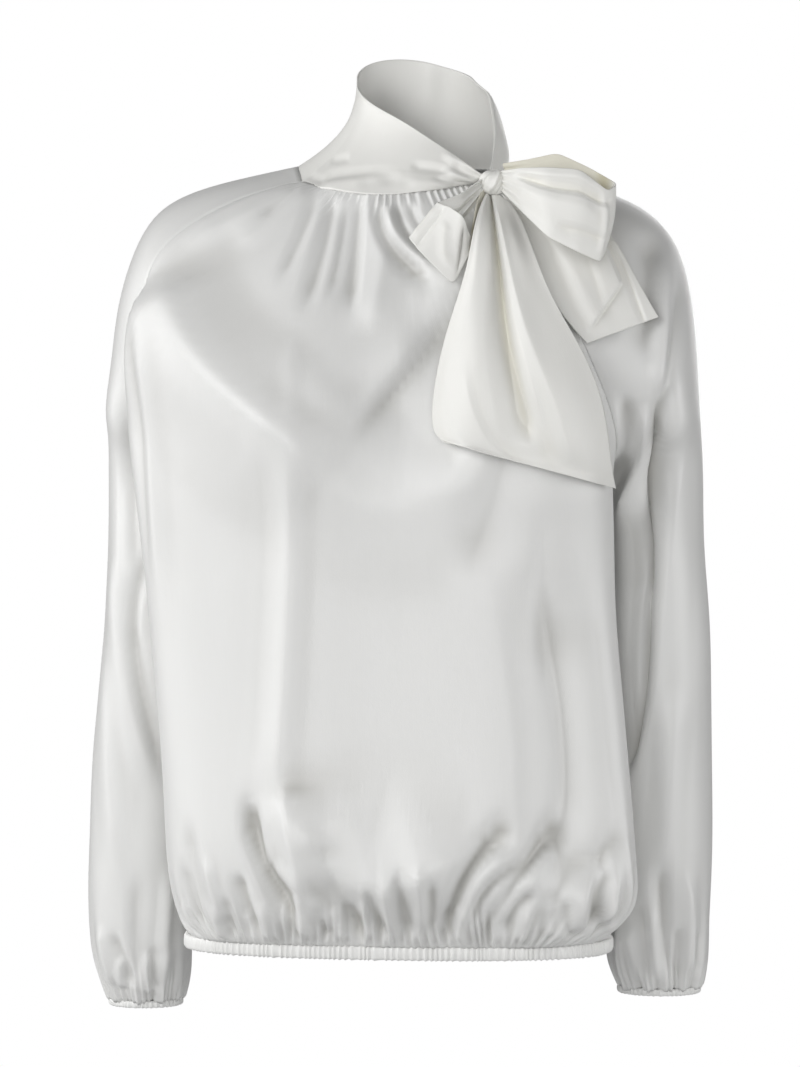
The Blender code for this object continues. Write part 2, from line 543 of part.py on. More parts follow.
SATIN_COLOURS = {
    "satin": (0.86, 0.85, 0.83, 1.0),
    "satin_casing": (0.84, 0.83, 0.81, 1.0),
    "satin_tie": (0.86, 0.85, 0.82, 1.0),
}


def zigzag(count):
    return np.where(np.arange(count) % 2 == 0, 1.0, -1.0)


def body_panel(name, form, other, middle_columns):
    """The front or the back: gathered into the neck seam and into the hem's casing."""
    neck_columns, hem_columns = 2 * NECK_GATHERS[name], 2 * HEM_GATHERS[name]
    plan = [(v, neck_columns, 1.0 - v / 1.2) for v in RAGLAN_PLACES[:2]]
    plan += [(v, middle_columns, 0.0) for v in RAGLAN_PLACES[2:]]
    plan += [(v, middle_columns, 0.0) for v in BODY_PLACES]
    plan += [(14.9, hem_columns, 0.35), (15.45, hem_columns, 0.75), (LAST_ROW, hem_columns, 1.0)]
    rows, normals = [], []
    for v, columns, gather in plan:
        u = np.linspace(0, 1, columns + 1)
        points, out = form.folded(u, v), form.normal(u, np.full(columns + 1, v))
        depth = HEM_GATHER_DEPTH if v > UNDERARM_ROW else NECK_GATHER_DEPTH
        if v == 0:
            out = neck_normal(points)
        if v == LAST_ROW:
            out[:, 2] = 0
            out = unit(out)
        points[1:-1] += out[1:-1] * (gather * depth * zigzag(columns - 1))[:, None]
        for low, k in ((True, 0), (False, -1)):
            edge, edge_normal = body_edges(form, other, np.array([v]), low)
            points[k] = edge[0]
            out[k] = edge_normal[0] if v > 0 else out[k]
        if v == 0:
            points += neck_across(points, out) * HALF_SEAM * -1
        if v == LAST_ROW:
            out[:, 2] = 0
            out = unit(out)
            points[:, 2] = HEM_TOP + HALF_SEAM
        rows.append(points)
        normals.append(out)
    return walls(name, rows, normals, CLOTH, [False] * len(rows), "satin")


def neck_across(points, normals):
    """The way across the neck seam, up into the collar."""
    along = unit(np.gradient(points, axis=0))
    across = unit(np.cross(along, normals))
    return across * np.sign(across[:, 2:])


def sleeve_panel(side):
    """One raglan sleeve: open from the neck to the underarm, then a tube down to the cuff."""
    name, form = ("sleeve_right" if side < 0 else "sleeve_left"), SLEEVES[side]
    front_u, back_u = sleeve_sides(side)
    columns, cuff_columns = SLEEVE_COLUMNS, 2 * CUFF_GATHERS
    plan = [(v, columns, 0.0) for v in RAGLAN_PLACES]
    plan += [(v, columns, 0.0) for v in SLEEVE_PLACES]
    plan += [(CUFF_ROW - 1, cuff_columns, 0.5), (CUFF_ROW, cuff_columns, 1.0)]
    rows, normals, wrapped = [], [], []
    for v, count, gather in plan:
        ring = v >= UNDERARM_ROW
        u = np.linspace(0, 1, count + 1)
        points, out = form.folded(u, float(v)), form.normal(u, np.full(count + 1, float(v)))
        if ring:
            out[0] = out[-1] = unit(out[0] + out[-1])
            points[0] = points[-1] = (points[0] + points[-1]) / 2
        if v == 0:
            out = neck_normal(points)
        if v == CUFF_ROW:
            out[:, 2] = 0
            out = unit(out)
        points += out * (gather * CUFF_GATHER_DEPTH * zigzag(count + 1))[:, None]
        if not ring:
            for k, u_edge in ((0, 0.0), (-1, 1.0)):
                edge, edge_normal = sleeve_edges(side, np.array([float(v)]), u_edge == front_u)
                points[k] = edge[0]
                out[k] = edge_normal[0] if v > 0 else out[k]
        if v == 0:
            points += neck_across(points, out) * HALF_SEAM * -1
        if v == UNDERARM_ROW:
            out[0] = (0.0, 0.0, -1.0)
            points[0, 0] += side * 3 * HALF_SEAM
        if v == CUFF_ROW:
            points[:, 2] += HALF_SEAM
        keep = slice(0, -1) if ring else slice(None)
        rows.append(points[keep])
        normals.append(out[keep])
        wrapped.append(ring)
    return walls(name, rows, normals, CLOTH, wrapped, "satin")


def neck_ring(count):
    """The neck seam as a ring, from the back's middle round by the wearer's right."""
    dense = np.linspace(0, 1, 60)
    right_front, right_back = sleeve_sides(-1)
    left_front, left_back = sleeve_sides(1)
    parts = [
        BACK.smooth(np.linspace(0.5, 1, 40), 0.0),
        SLEEVES[-1].smooth(np.linspace(right_back, right_front, 40), 0.0)[1:],
        FRONT.smooth(dense, 0.0)[1:],
        SLEEVES[1].smooth(np.linspace(left_front, left_back, 40), 0.0)[1:],
        BACK.smooth(np.linspace(0, 0.5, 40), 0.0)[1:],
    ]
    ring = np.vstack(parts)
    turn = np.degrees(np.unwrap(np.arctan2(ring[:, 0], -ring[:, 1])))
    turn -= turn[0] + 180
    wanted = np.linspace(-180, 180, count + 1)[:-1]
    return wanted, np.column_stack([np.interp(wanted, turn, ring[:, k]) for k in range(3)])


def collar_top(turns):
    table = np.array(COLLAR_EDGE)
    table = np.vstack([table[-4:] - (360, 0, 0, 0), table, table[:4] + (360, 0, 0, 0)])
    return spline(table[:, 0], table[:, 1:], turns)


def collar():
    """The scarf collar: a double band that flares into the neck seam and dips at the knot."""
    count = COLLAR_COLUMNS
    turns, base = neck_ring(count)
    top, out = collar_top(turns), neck_normal(base)
    base = base + neck_across_ring(base, out) * (HALF_SEAM + 0.65 * NECK_GATHER_DEPTH)
    flare = COLLAR_FLARE - COLLAR_FLARE_SWING * np.sin(np.radians(turns))
    rows, levels = [], (0.0, 0.10, 0.24, 0.42, 0.62, 0.82, 1.0)
    for level in levels:
        inward = 1 - (1 - level) ** flare
        flat = base + (top - base) * inward[:, None]
        swell = COLLAR_SWELL * np.sin(np.pi * level**0.6) * np.maximum(np.sin(np.radians(turns)), 0)
        flat += unit(base * (1, 1, 0)) * swell[:, None]
        flat[:, 2] = base[:, 2] + (top[:, 2] - base[:, 2]) * level
        rows.append(flat)
    centre = np.mean(rows[3], axis=0)
    normals = [out]
    for k in range(1, len(rows)):
        low, high = rows[k - 1], rows[min(k + 1, len(rows) - 1)]
        around = np.roll(rows[k], -1, axis=0) - np.roll(rows[k], 1, axis=0)
        away = unit(np.cross(around, high - low))
        outward = (rows[k] - centre) * (1, 1, 0)
        normals.append(away * np.sign(np.sum(away * outward, axis=1, keepdims=True)))
    return walls("collar", rows, normals, DOUBLE_CLOTH, [True] * len(rows), "satin_tie")


def neck_across_ring(points, normals):
    along = unit(np.roll(points, -1, axis=0) - np.roll(points, 1, axis=0))
    across = unit(np.cross(along, normals))
    return across * np.sign(across[:, 2:])


def casing(name, middle, half_x, half_y, top, bottom, ribs, rib_depth, squareness=2.0):
    """An elastic casing: a ruched oval tunnel, closed, with a rounded section."""
    count = 2 * ribs
    turn = np.linspace(0, 2 * np.pi, count, endpoint=False)
    ring = np.column_stack([np.sin(turn), -np.cos(turn), np.zeros(count)])
    half_y_at = np.where(ring[:, 1] < 0, half_y[0], half_y[1])
    ring = np.sign(ring) * np.abs(ring) ** (2 / squareness)
    middle_line = np.column_stack([ring[:, 0] * half_x, ring[:, 1] * half_y_at, np.zeros(count)])
    around = np.roll(middle_line, -1, axis=0) - np.roll(middle_line, 1, axis=0)
    out = unit(np.column_stack([-around[:, 1], around[:, 0], np.zeros(count)]))
    out *= np.sign(np.sum(out * middle_line, axis=1, keepdims=True))
    out_by = zigzag(count) * rib_depth
    shell, mesh = bmesh.new(), bpy.data.meshes.new(name)
    middle_z, half_z = (top + bottom) / 2, (top - bottom) / 2
    # out, up: the corners of the tunnel's section, from its outer top round by the inside
    section = ((0.35, 1.0), (1.0, 0.35), (1.0, -0.45), (0.35, -1.0), (-1.0, -0.8), (-1.0, 0.8))
    rings = []
    for side_out, up in section:
        reach = CASING_THICK / 2 * side_out + out_by * max(side_out, 0.0) - CASING_THICK / 2
        points = middle_line + out * reach[:, None] + np.array(middle)
        points[:, 2] = middle_z + half_z * up
        rings.append([shell.verts.new(p) for p in points])
    for k in range(len(rings)):
        near, far = rings[k], rings[(k + 1) % len(rings)]
        for i in range(count):
            shell.faces.new((near[i], near[i - 1], far[i - 1], far[i]))
    bmesh.ops.recalc_face_normals(shell, faces=shell.faces)
    shell.to_mesh(mesh)
    shell.free()
    return placed(name, mesh, "satin_casing")


def front_depth(x, z, reach=0.007):
    """The y of the foremost cloth of the front and sleeves near each place seen from the front."""
    clouds = [FRONT.folded(np.linspace(0.02, 0.98, 120), v) for v in np.arange(0, 12, 0.1)]
    for sleeve in SLEEVES.values():
        clouds += [sleeve.folded(np.linspace(0, 1, 60), v) for v in np.arange(0, 9, 0.15)]
    cloud = np.vstack(clouds)
    depths = []
    for place_x, place_z in zip(x, z):
        near = (abs(cloud[:, 0] - place_x) < reach) & (abs(cloud[:, 2] - place_z) < reach)
        depths.append(cloud[near, 1].min())
    return np.array(depths)


def tie_end(name, stations, rows, columns, pleats):
    """A hanging end of the tie, laid on the front's own points and moved out from them."""
    table = np.array(stations)
    at = np.linspace(0, 1, rows)
    line = spline(np.linspace(0, 1, len(table)), table, at)
    across = np.linspace(0, 1, columns)
    sheets = []
    for k, (left_x, left_z, right_x, right_z, left_lift, right_lift) in enumerate(line):
        x, z = left_x + (right_x - left_x) * across, left_z + (right_z - left_z) * across
        lift = left_lift + (right_lift - left_lift) * across
        under = front_depth(x, z)
        wave = pleat_wave(pleats, across, at[k])
        sheets.append(np.column_stack([x, under - SURFACE_CLEARANCE - DOUBLE_CLOTH - lift - wave, z]))
    grid = np.array(sheets)
    along, down = np.gradient(grid, axis=1), np.gradient(grid, axis=0)
    normals = unit(np.cross(along, down))
    normals *= np.where(normals[..., 1:2] > 0, -1, 1)
    return walls(name, list(grid), list(normals), DOUBLE_CLOTH, [False] * rows, "satin_tie")


def pleat_wave(pleats, across, down):
    """The tie's folds across it; each pleat's middle moves along a line from knot to end."""
    total = np.zeros(len(across))
    for start, end, width, depth in pleats:
        middle = start + (end - start) * down
        fade = np.sin(np.pi * min(0.15 + 0.85 * down, 1.0) * 0.98)
        total += depth * fade * np.exp(-(((across - middle) / width) ** 2))
    return total


def bow_loop(name, stations, rows, columns, belly):
    """A loop of the bow: the tie's strip, out from the knot, turned over and back to it."""
    table = np.array(stations)
    line = spline(np.linspace(0, 1, len(table)), table, np.linspace(0, 1, rows))
    across = np.linspace(0, 1, columns)
    top, bottom = line[:, None, :3], line[:, None, 3:]
    grid = top + (bottom - top) * across[None, :, None]
    along, down = np.gradient(grid, axis=1), np.gradient(grid, axis=0)
    normals = unit(np.cross(along, down))
    first = normals[rows // 4, columns // 2]
    normals *= -1 if first[1] > 0 else 1
    swell = np.sin(np.pi * across)[None, :] * np.sin(np.pi * np.linspace(0, 1, rows))[:, None]
    grid = grid + normals * (belly * swell)[..., None]
    return walls(name, list(grid), list(normals), DOUBLE_CLOTH, [False] * rows, "satin_tie")


def knot():
    """The knot: one turn of the tie, pinched lengthwise."""
    shell, mesh = bmesh.new(), bpy.data.meshes.new("bow_knot")
    bmesh.ops.create_uvsphere(shell, u_segments=14, v_segments=8, radius=1.0)
    for vert in shell.verts:
        around = np.arctan2(vert.co.x, -vert.co.y)
        size = np.array(KNOT_HALF_SIZE) + KNOT_PINCH_DEPTH * np.cos(KNOT_PINCHES * around)
        squared = np.sign(vert.co) * np.abs(vert.co) ** 0.8
        vert.co = np.array(KNOT_CENTRE) + squared * size
    bmesh.ops.recalc_face_normals(shell, faces=shell.faces)
    shell.to_mesh(mesh)
    shell.free()
    return placed("bow_knot", mesh, "satin_tie")


for old in list(bpy.data.objects):
    bpy.data.objects.remove(old)

body_panel("front", FRONT, BACK, FRONT_COLUMNS)
body_panel("back", BACK, FRONT, BACK_COLUMNS)
for side in (-1, 1):
    sleeve_panel(side)
collar()
casing(
    "hem_casing", (0.0, HEM_MIDDLE_Y, 0.0), HEM_HALF_WIDTH, (HEM_FRONT, HEM_BACK),
    HEM_TOP - HALF_SEAM, HEM_BOTTOM, HEM_RIBS, 0.0011, HEM_SQUARENESS,
)
for name, tube in (("cuff_casing_right", SLEEVE_RIGHT_TUBE), ("cuff_casing_left", SLEEVE_LEFT_TUBE)):
    height, outer, inner, front_y, back_y = tube[-1]
    sign = -1 if name.endswith("right") else 1
    centre = (sign * (outer + inner) / 2, (front_y + back_y) / 2, 0.0)
    half_y = (back_y - front_y) / 2
    casing(
        name, centre, (outer - inner) / 2, (half_y, half_y),
        height - HALF_SEAM, height - CUFF_HEIGHT, CUFF_GATHERS, 0.0009,
    )
# start and end of a pleat's middle across the strip, its width as a part of it, and its depth
tie_end(
    "tie_end_front", TIE_FRONT, 14, 15,
    ((0.50, 0.50, 0.10, -0.006), (0.72, 0.74, 0.14, 0.007), (0.25, 0.20, 0.12, 0.005)),
)
tie_end("tie_end_back", TIE_BACK, 9, 8, ((0.40, 0.35, 0.16, -0.001),))
bow_loop("bow_loop_left", LOOP_LEFT, 21, 7, 0.004)
bow_loop("bow_loop_right", LOOP_RIGHT, 17, 6, 0.003)
knot()
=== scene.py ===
# %% [markdown]
# # A satin blouse with a scarf collar tied in a bow
#
# A blouse like this is cut from ivory satin: a front and a back, two raglan sleeves that run from
# the neck to the cuff, a narrow casing with elastic at the hem and at each cuff, and a scarf collar
# whose long ends are tied in a bow at the side of the neck. Every piece here is a thin sheet of
# cloth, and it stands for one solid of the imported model, in the same place and in metres.

import bmesh
import bpy
import numpy as np
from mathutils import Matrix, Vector


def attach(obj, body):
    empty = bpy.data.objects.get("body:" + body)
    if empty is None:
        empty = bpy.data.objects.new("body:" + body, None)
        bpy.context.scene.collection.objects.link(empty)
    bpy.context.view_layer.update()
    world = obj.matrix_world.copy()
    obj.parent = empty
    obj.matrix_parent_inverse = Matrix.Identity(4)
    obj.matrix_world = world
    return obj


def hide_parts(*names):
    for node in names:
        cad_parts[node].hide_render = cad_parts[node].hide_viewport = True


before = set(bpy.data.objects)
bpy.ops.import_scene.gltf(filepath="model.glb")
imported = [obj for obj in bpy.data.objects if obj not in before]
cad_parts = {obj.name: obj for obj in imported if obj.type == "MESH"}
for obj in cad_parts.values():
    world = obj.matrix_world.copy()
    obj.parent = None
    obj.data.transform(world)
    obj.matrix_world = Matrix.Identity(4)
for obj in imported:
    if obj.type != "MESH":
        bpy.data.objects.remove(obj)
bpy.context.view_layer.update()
print("solids:", ", ".join(sorted(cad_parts)))

# %% [markdown]
# ## The sizes
#
# A pattern cutter works from a few named measurements and a row of places for each height of the
# garment, in millimetres. Here they are the same as in the solids, so that each sheet lies where its
# solid is. A scan could give them too, but named sizes can be changed by hand and read by a person.

# %% The hem, the cuffs and the rows from the neck down
def metres(*rows):
    """Rows of millimetres, as a cutter writes them, turned into metres."""
    return tuple(tuple(value / 1000 for value in row) for row in rows)


HALF_SEAM = 0.00016  # half of the gap between two pieces at their seam
SURFACE_CLEARANCE = 0.0012  # what lies on a panel stays this far off it
DOUBLE_CLOTH = 0.0020  # what the tie's two layers take up on the cloth under them
HEM_TOP, HEM_BOTTOM = -0.6180, -0.6292
HEM_SQUARENESS = 2.5  # 2 is an ellipse
HEM_HALF_WIDTH, HEM_MIDDLE_Y, HEM_FRONT, HEM_BACK = 0.175, -0.012, 0.089, 0.087
CUFF_HEIGHT = 0.0060
CASING_THICK = 0.0042
UNDERARM = (167, 6, -246)  # where both raglan seams and the side seam meet, in mm
UNDERARM_ROW = 8.0  # sections 0 to 8 run from the neck to the underarm
LAST_ROW = 16.0  # section 16 is at the hem
CUFF_ROW = 17.0  # and section 17 is at the cuff
THIN_CLOTH = 0.0005  # one layer of satin
THIN_DOUBLE = 0.0013  # two layers, as the collar and the tie are folded double
print("hem, m:", 2 * HEM_HALF_WIDTH, "wide and", HEM_FRONT + HEM_BACK, "painted_fold_shade")

# %% The front's sections
# A section of the front, one side: the seam, the front corner and the bust line.
# seam_x, seam_y, seam_z, corner_x, corner_y, corner_z, bust_x, bust_y, bust_z
FRONT_RIGHT_YOKE = metres(
    (78, -30, -6, 62, -50.5, -11, 34, -66.5, -17),
    (118, -45, -17.5, 92, -62, -30, 50, -79, -43),
    (158, -56, -38, 124, -76, -58, 62, -93, -73),
    (186, -62, -62, 150, -86, -88, 71, -106, -107),
    (199, -63, -90, 174, -91, -118, 78, -118, -143),
    (201, -57, -130, 196, -88, -150, 83, -127, -178),
    (194, -43, -176, 203, -80, -192, 84, -131, -210),
    (181, -18, -220, 204, -76, -228, 84, -129, -240),
    (*UNDERARM, 202, -74, -262, 84, -125, -270),
)
FRONT_LEFT_YOKE = metres(
    (78, -30, -6, 62, -50.5, -11, 34, -66.5, -17),
    (102, -53, -32, 80, -67, -38, 46, -80, -44),
    (124, -71, -67, 98, -84, -72, 57, -95, -76),
    (141, -81, -102, 113, -97, -106, 67, -108, -110),
    (154, -85, -132, 126, -106, -137, 75, -119, -144),
    (166, -83, -160, 138, -111, -168, 81, -127, -176),
    (177, -72, -190, 151, -110, -200, 84, -131, -209),
    (181, -48, -222, 163, -100, -232, 84, -129, -240),
    (*UNDERARM, 170, -85, -264, 84, -125, -270),
)
# centre_y, centre_z of the front, one row for each section
FRONT_CENTRE = metres(
    (-72, -20), (-81, -46), (-90, -77), (-100, -112), (-110, -148),
    (-118, -182), (-122, -212), (-122, -242), (-121, -272),
)
# height, side_x, side_y, right_corner_x, left_corner_x, corner_y, bust_x, bust_y, centre_y
FRONT_BODY = metres(
    (-305, 161, 10, 197.5, 173, -73, 85, -122, -120),
    (-355, 160, 10, 192, 175, -73, 86, -121, -119),
    (-410, 160, 10, 187, 180, -73, 87, -121, -120),
    (-465, 160, 10, 182, 185.5, -74, 88, -123, -122),
    (-515, 160, 9, 179, 190, -75, 89, -126, -126),
    (-558, 161, 6, 176.5, 192.5, -74, 89, -126, -127),
    (-592, 165, 1, 169, 186, -68, 87, -116, -118),
)
print("front sections:", len(FRONT_CENTRE) + len(FRONT_BODY) + 1)

# %% The back's sections
# seam_x, seam_y, seam_z, side_x, side_y, side_z, blade_x, blade_y, blade_z, centre_y, centre_z
BACK_YOKE = metres(
    (70, 37, 9, 52, 50, 11, 28, 59, 12, 62, 12),
    (106, 52, -6, 78, 62, -9, 40, 70, -12, 72, -13),
    (138, 65, -30, 106, 75, -36, 54, 83, -42, 82, -44),
    (160, 75, -58, 124, 86, -66, 66, 94, -74, 90, -77),
    (174, 83, -90, 136, 94, -100, 76, 101, -108, 95, -112),
    (181, 85, -126, 144, 98, -136, 82, 103, -142, 96, -146),
    (183, 79, -166, 150, 98, -174, 84, 102, -180, 95, -182),
    (179, 52, -210, 154, 92, -216, 84, 99, -220, 92, -222),
    (*UNDERARM, 152, 80, -258, 84, 96, -262, 90, -264),
)
# corner_x, corner_y, blade_x, blade_y, centre_y, at the heights of FRONT_BODY
BACK_BODY = metres(
    (149, 72, 84, 92, 87),
    (147, 69, 84, 89, 85),
    (146, 69, 84, 89, 85),
    (146, 70, 85, 91, 87),
    (146, 71, 86, 94, 91),
    (146, 70, 86, 94, 92),
    (148, 60, 86, 86, 86),
)
print("back sections:", len(BACK_YOKE) + len(BACK_BODY) + 1)

# %% The sleeves' sections
# front_x, front_y, front_z, ridge_x, ridge_y, ridge_z, back_x, back_y, back_z
SLEEVE_RIGHT_CAP = metres(
    (83, -15, 5, 85, 0, 10, 80, 20, 10),
    (124, -24, -5, 128, 5, 2, 120, 32, 1),
    (165, -28, -17, 168, 10, -8, 158, 42, -13),
    (197, -32, -37, 202.5, 16, -27, 188, 50, -36),
    (216, -34, -71, 223.5, 20, -63, 206, 57, -72),
    (227, -33, -115, 236, 24, -105, 218, 63, -114),
    (232, -30, -163, 242.5, 27, -150, 225, 69, -160),
    (233, -24, -206, 246.5, 29, -197, 227, 75, -206),
    (212, -12, -243, 249, 31, -243, 209, 88, -244),
)
SLEEVE_LEFT_CAP = metres(
    (83, -15, 2, 85, 0, 7, 80, 20, 9),
    (118, -24, -14, 127, 5, -6, 120, 32, -4),
    (158, -35, -33, 170, 10, -15, 158, 42, -18),
    (190, -44, -60, 206.5, 16, -34, 188, 50, -40),
    (210, -50, -92, 227.5, 20, -64, 206, 57, -73),
    (224, -52, -130, 237, 24, -105, 219, 63, -114),
    (230, -50, -170, 241, 27, -150, 224, 69, -160),
    (231, -42, -212, 243.5, 29, -197, 227, 75, -206),
    (208, -32, -246, 245.5, 31, -243, 208, 88, -244),
)
# height, outer_x, inner_x, front_y, back_y of a sleeve below the underarm
SLEEVE_RIGHT_TUBE = metres(
    (-300, 250.5, 173, -16, 90),
    (-360, 253.5, 172, -15, 92),
    (-420, 259, 172, -14, 94),
    (-480, 265.2, 174, -12, 96),
    (-540, 268, 177, -10, 98),
    (-590, 269.5, 180, -8, 98),
    (-635, 267, 183.5, -3, 94),
    (-661, 261, 186, 6, 86),
    (-681.5, 253.5, 191.5, 16, 77),
)
SLEEVE_LEFT_TUBE = metres(
    (-300, 246.5, 171, -28, 88),
    (-360, 250.5, 170, -22, 90),
    (-420, 251.8, 169, -16, 93),
    (-480, 252.2, 168, -10, 96),
    (-540, 252.4, 167, -4, 98),
    (-590, 251, 165.5, 0, 100),
    (-628, 249.5, 165, 6, 98),
    (-647, 247.5, 167.5, 12, 92),
    (-664, 243, 174.5, 20, 84),
)
print("cuffs end at, m:", SLEEVE_RIGHT_TUBE[-1][0], SLEEVE_LEFT_TUBE[-1][0])

# %% [markdown]
# ## From sizes to a smooth form
#
# Cloth on a body makes one smooth surface from seam to seam. It could be modelled with a few
# control points and a Subdivision modifier, but a natural spline through the named places goes
# exactly through each of them, so the sheet can't drift away from its solid.

# %% A smooth line through named places
def unit(vectors):
    return vectors / np.maximum(np.linalg.norm(vectors, axis=-1, keepdims=True), 1e-12)


def spline(knots, values, at):
    """The natural cubic through values[k] at knots[k], read at the places given."""
    knots, values, at = np.asarray(knots, float), np.asarray(values, float), np.asarray(at, float)
    count, gap = len(knots), np.diff(knots)
    system, load = np.eye(count), np.zeros((count, values.shape[1]))
    for k in range(1, count - 1):
        system[k, k - 1 : k + 2] = gap[k - 1], 2 * (gap[k - 1] + gap[k]), gap[k]
        slopes = (values[k + 1] - values[k]) / gap[k] - (values[k] - values[k - 1]) / gap[k - 1]
        load[k] = 6 * slopes
    bend = np.linalg.solve(system, load)
    low = np.clip(np.searchsorted(knots, at, side="right") - 1, 0, count - 2)
    width = gap[low]
    before, after = (knots[low + 1] - at) / width, (at - knots[low]) / width
    weight = (width**2 / 6)[:, None]
    return (
        before[:, None] * values[low]
        + after[:, None] * values[low + 1]
        + weight * (before**3 - before)[:, None] * bend[low]
        + weight * (after**3 - after)[:, None] * bend[low + 1]
    )


print("halfway up a bent line:", spline((0, 1, 2), ((0.0,), (1.0,), (0.0,)), (0.5,)))

# %% Uneven lines, which wander as hand-gathered cloth does
def wandering(seed, turns):
    """A smooth line between -1 and 1 with about this many turns from 0 to 1."""
    values = np.random.default_rng(seed).uniform(-1, 1, turns + 2)

    def line(at):
        at = np.clip(np.asarray(at, float), 0, 1) * turns
        low = at.astype(int)
        part = soft_step(at - low)
        return values[low] * (1 - part) + values[low + 1] * part

    return line


def gathers(at, count, seed):
    """A wave of this many uneven gathers from 0 to 1."""
    phase = count * np.asarray(at) + 0.55 * wandering(seed, count // 2)(at)
    size = 0.68 + 0.32 * wandering(seed + 1, count // 2)(at)
    return size * (np.cos(2 * np.pi * phase) + 0.25 * np.cos(4 * np.pi * phase + 1.0))


def soft_step(value):
    """From 0 to 1 without a corner at either end."""
    value = np.clip(value, 0, 1)
    return value * value * (3 - 2 * value)


def bell(away, reach):
    """1 in the middle, and nearly nought at twice this reach."""
    return np.exp(-((away / reach) ** 2))


def bent(part, power):
    """A part of a circle bent towards a square (below 1), with its sign kept."""
    return np.sign(part) * np.abs(part) ** power


print("six gathers of forty:", np.round(gathers(np.linspace(0, 0.15, 6), 40, 1), 2))

# %% The surface of a panel
class Form:
    """A smooth surface through a net of points; u runs across it and v down its sections."""

    def __init__(self, across, sections, net, folds_face):
        self.across, self.sections, self.net = across, sections, np.asarray(net, float)
        self.folds_face, self.facing = folds_face, 1.0
        middle, low = np.array([0.5]), np.array([sections[-1] * 0.7])
        centre = self.smooth(np.linspace(0, 1, 9), low).mean(axis=0)
        outwards = self.smooth(middle, low)[0] - centre
        self.facing = float(np.sign(self.normal(middle, low)[0] @ outwards))

    def smooth(self, u, v):
        u, v = np.broadcast_arrays(np.asarray(u, float), np.asarray(v, float))
        shape, u, v = u.shape, u.ravel(), v.ravel()
        rows, where = np.unique(v, return_inverse=True)
        flat = self.net.reshape(len(self.sections), -1)
        nets = spline(self.sections, flat, rows).reshape(len(rows), len(self.across), 3)
        # A seam turns at the underarm, so each edge is one curve above it and one below.
        turn = int(UNDERARM_ROW)
        for part, here in ((slice(0, turn + 1), rows <= turn), (slice(turn, None), rows > turn)):
            for edge in (0, -1):
                nets[here, edge] = spline(self.sections[part], self.net[part, edge], rows[here])
        points = np.empty((len(u), 3))
        order = np.argsort(where, kind="stable")
        for here in np.split(order, np.cumsum(np.bincount(where))[:-1]):
            points[here] = spline(self.across, nets[where[here[0]]], u[here])
        return points.reshape(*shape, 3)

    def normal(self, u, v, step=0.004):
        """The direction out of the cloth, away from the wearer."""
        low_u, high_u = np.clip(u - step, 0, 1), np.clip(u + step, 0, 1)
        low_v = np.clip(v - step * 8, self.sections[0], self.sections[-1])
        high_v = np.clip(v + step * 8, self.sections[0], self.sections[-1])
        along = unit(self.smooth(high_u, v) - self.smooth(low_u, v))
        down = unit(self.smooth(u, high_v) - self.smooth(u, low_v))
        return unit(np.cross(along, down)) * self.facing


# %% The nets of the front, the back and the sleeves
def side_points(row, side):
    """The three named places of one section's side, with x turned to that side."""
    points = np.array(row, float).reshape(3, 3)
    points[:, 0] *= side
    return points


def hem_row(depth, sign):
    """The seven places of a panel's last section, on the hem's oval."""
    at = HEM_HALF_WIDTH * np.array((-1, -0.86, -0.49, 0, 0.49, 0.86, 1))
    part = np.abs(at / HEM_HALF_WIDTH) ** HEM_SQUARENESS
    y = HEM_MIDDLE_Y + sign * depth * np.maximum(1 - part, 0) ** (1 / HEM_SQUARENESS)
    return [(place, place_y, HEM_TOP) for place, place_y in zip(at, y)]


def front_net():
    """The front's net: right seam, corner and bust, the centre, then the left side's."""
    net = []
    for right, left, (centre_y, centre_z) in zip(FRONT_RIGHT_YOKE, FRONT_LEFT_YOKE, FRONT_CENTRE):
        centre = (0.0, centre_y, centre_z)
        net.append([*side_points(right, -1), centre, *side_points(left, 1)[::-1]])
    for height, side_x, side_y, right_x, left_x, corner_y, bust_x, bust_y, centre_y in FRONT_BODY:
        right = ((-side_x, side_y), (-right_x, corner_y), (-bust_x, bust_y))
        left = ((bust_x, bust_y), (left_x, corner_y), (side_x, side_y))
        net.append([(x, y, height) for x, y in (*right, (0.0, centre_y), *left)])
    net.append(hem_row(HEM_FRONT, -1))
    return net


def back_net():
    """The back's net, from the wearer's left to the right, so that its normal is outwards."""
    net = []
    for row in BACK_YOKE:
        centre = (0.0, row[9], row[10])
        net.append([*side_points(row[:9], 1), centre, *side_points(row[:9], -1)[::-1]])
    for front, (corner_x, corner_y, blade_x, blade_y, centre_y) in zip(FRONT_BODY, BACK_BODY):
        height, side_x, side_y = front[:3]
        half = ((side_x, side_y), (corner_x, corner_y), (blade_x, blade_y))
        other = [(-x, y) for x, y in half[::-1]]
        net.append([(x, y, height) for x, y in (*half, (0.0, centre_y), *other)])
    net.append(hem_row(HEM_BACK, 1)[::-1])
    return net


def sleeve_net(side, front_yoke, cap, tube):
    """Nine places a section: front seam, over the shoulder to the back seam, or round the arm."""
    net, around = [], np.linspace(0, 1, 9)
    for front, middle, back in zip(front_yoke, cap, BACK_YOKE):
        named = np.vstack([front[:3], np.reshape(middle, (3, 3)), back[:3]])
        net.append(spline(np.linspace(0, 1, 5), named, around))
    for height, outer, inner, front_y, back_y in tube:
        turn = 2 * np.pi * around
        x = (outer + inner) / 2 - (outer - inner) / 2 * np.cos(turn)
        y = (front_y + back_y) / 2 - (back_y - front_y) / 2 * np.sin(turn)
        net.append(np.column_stack([x, y, np.full(9, height)]))
    net = np.array(net)
    net[..., 0] *= side
    return net[:, ::-1] if side < 0 else net


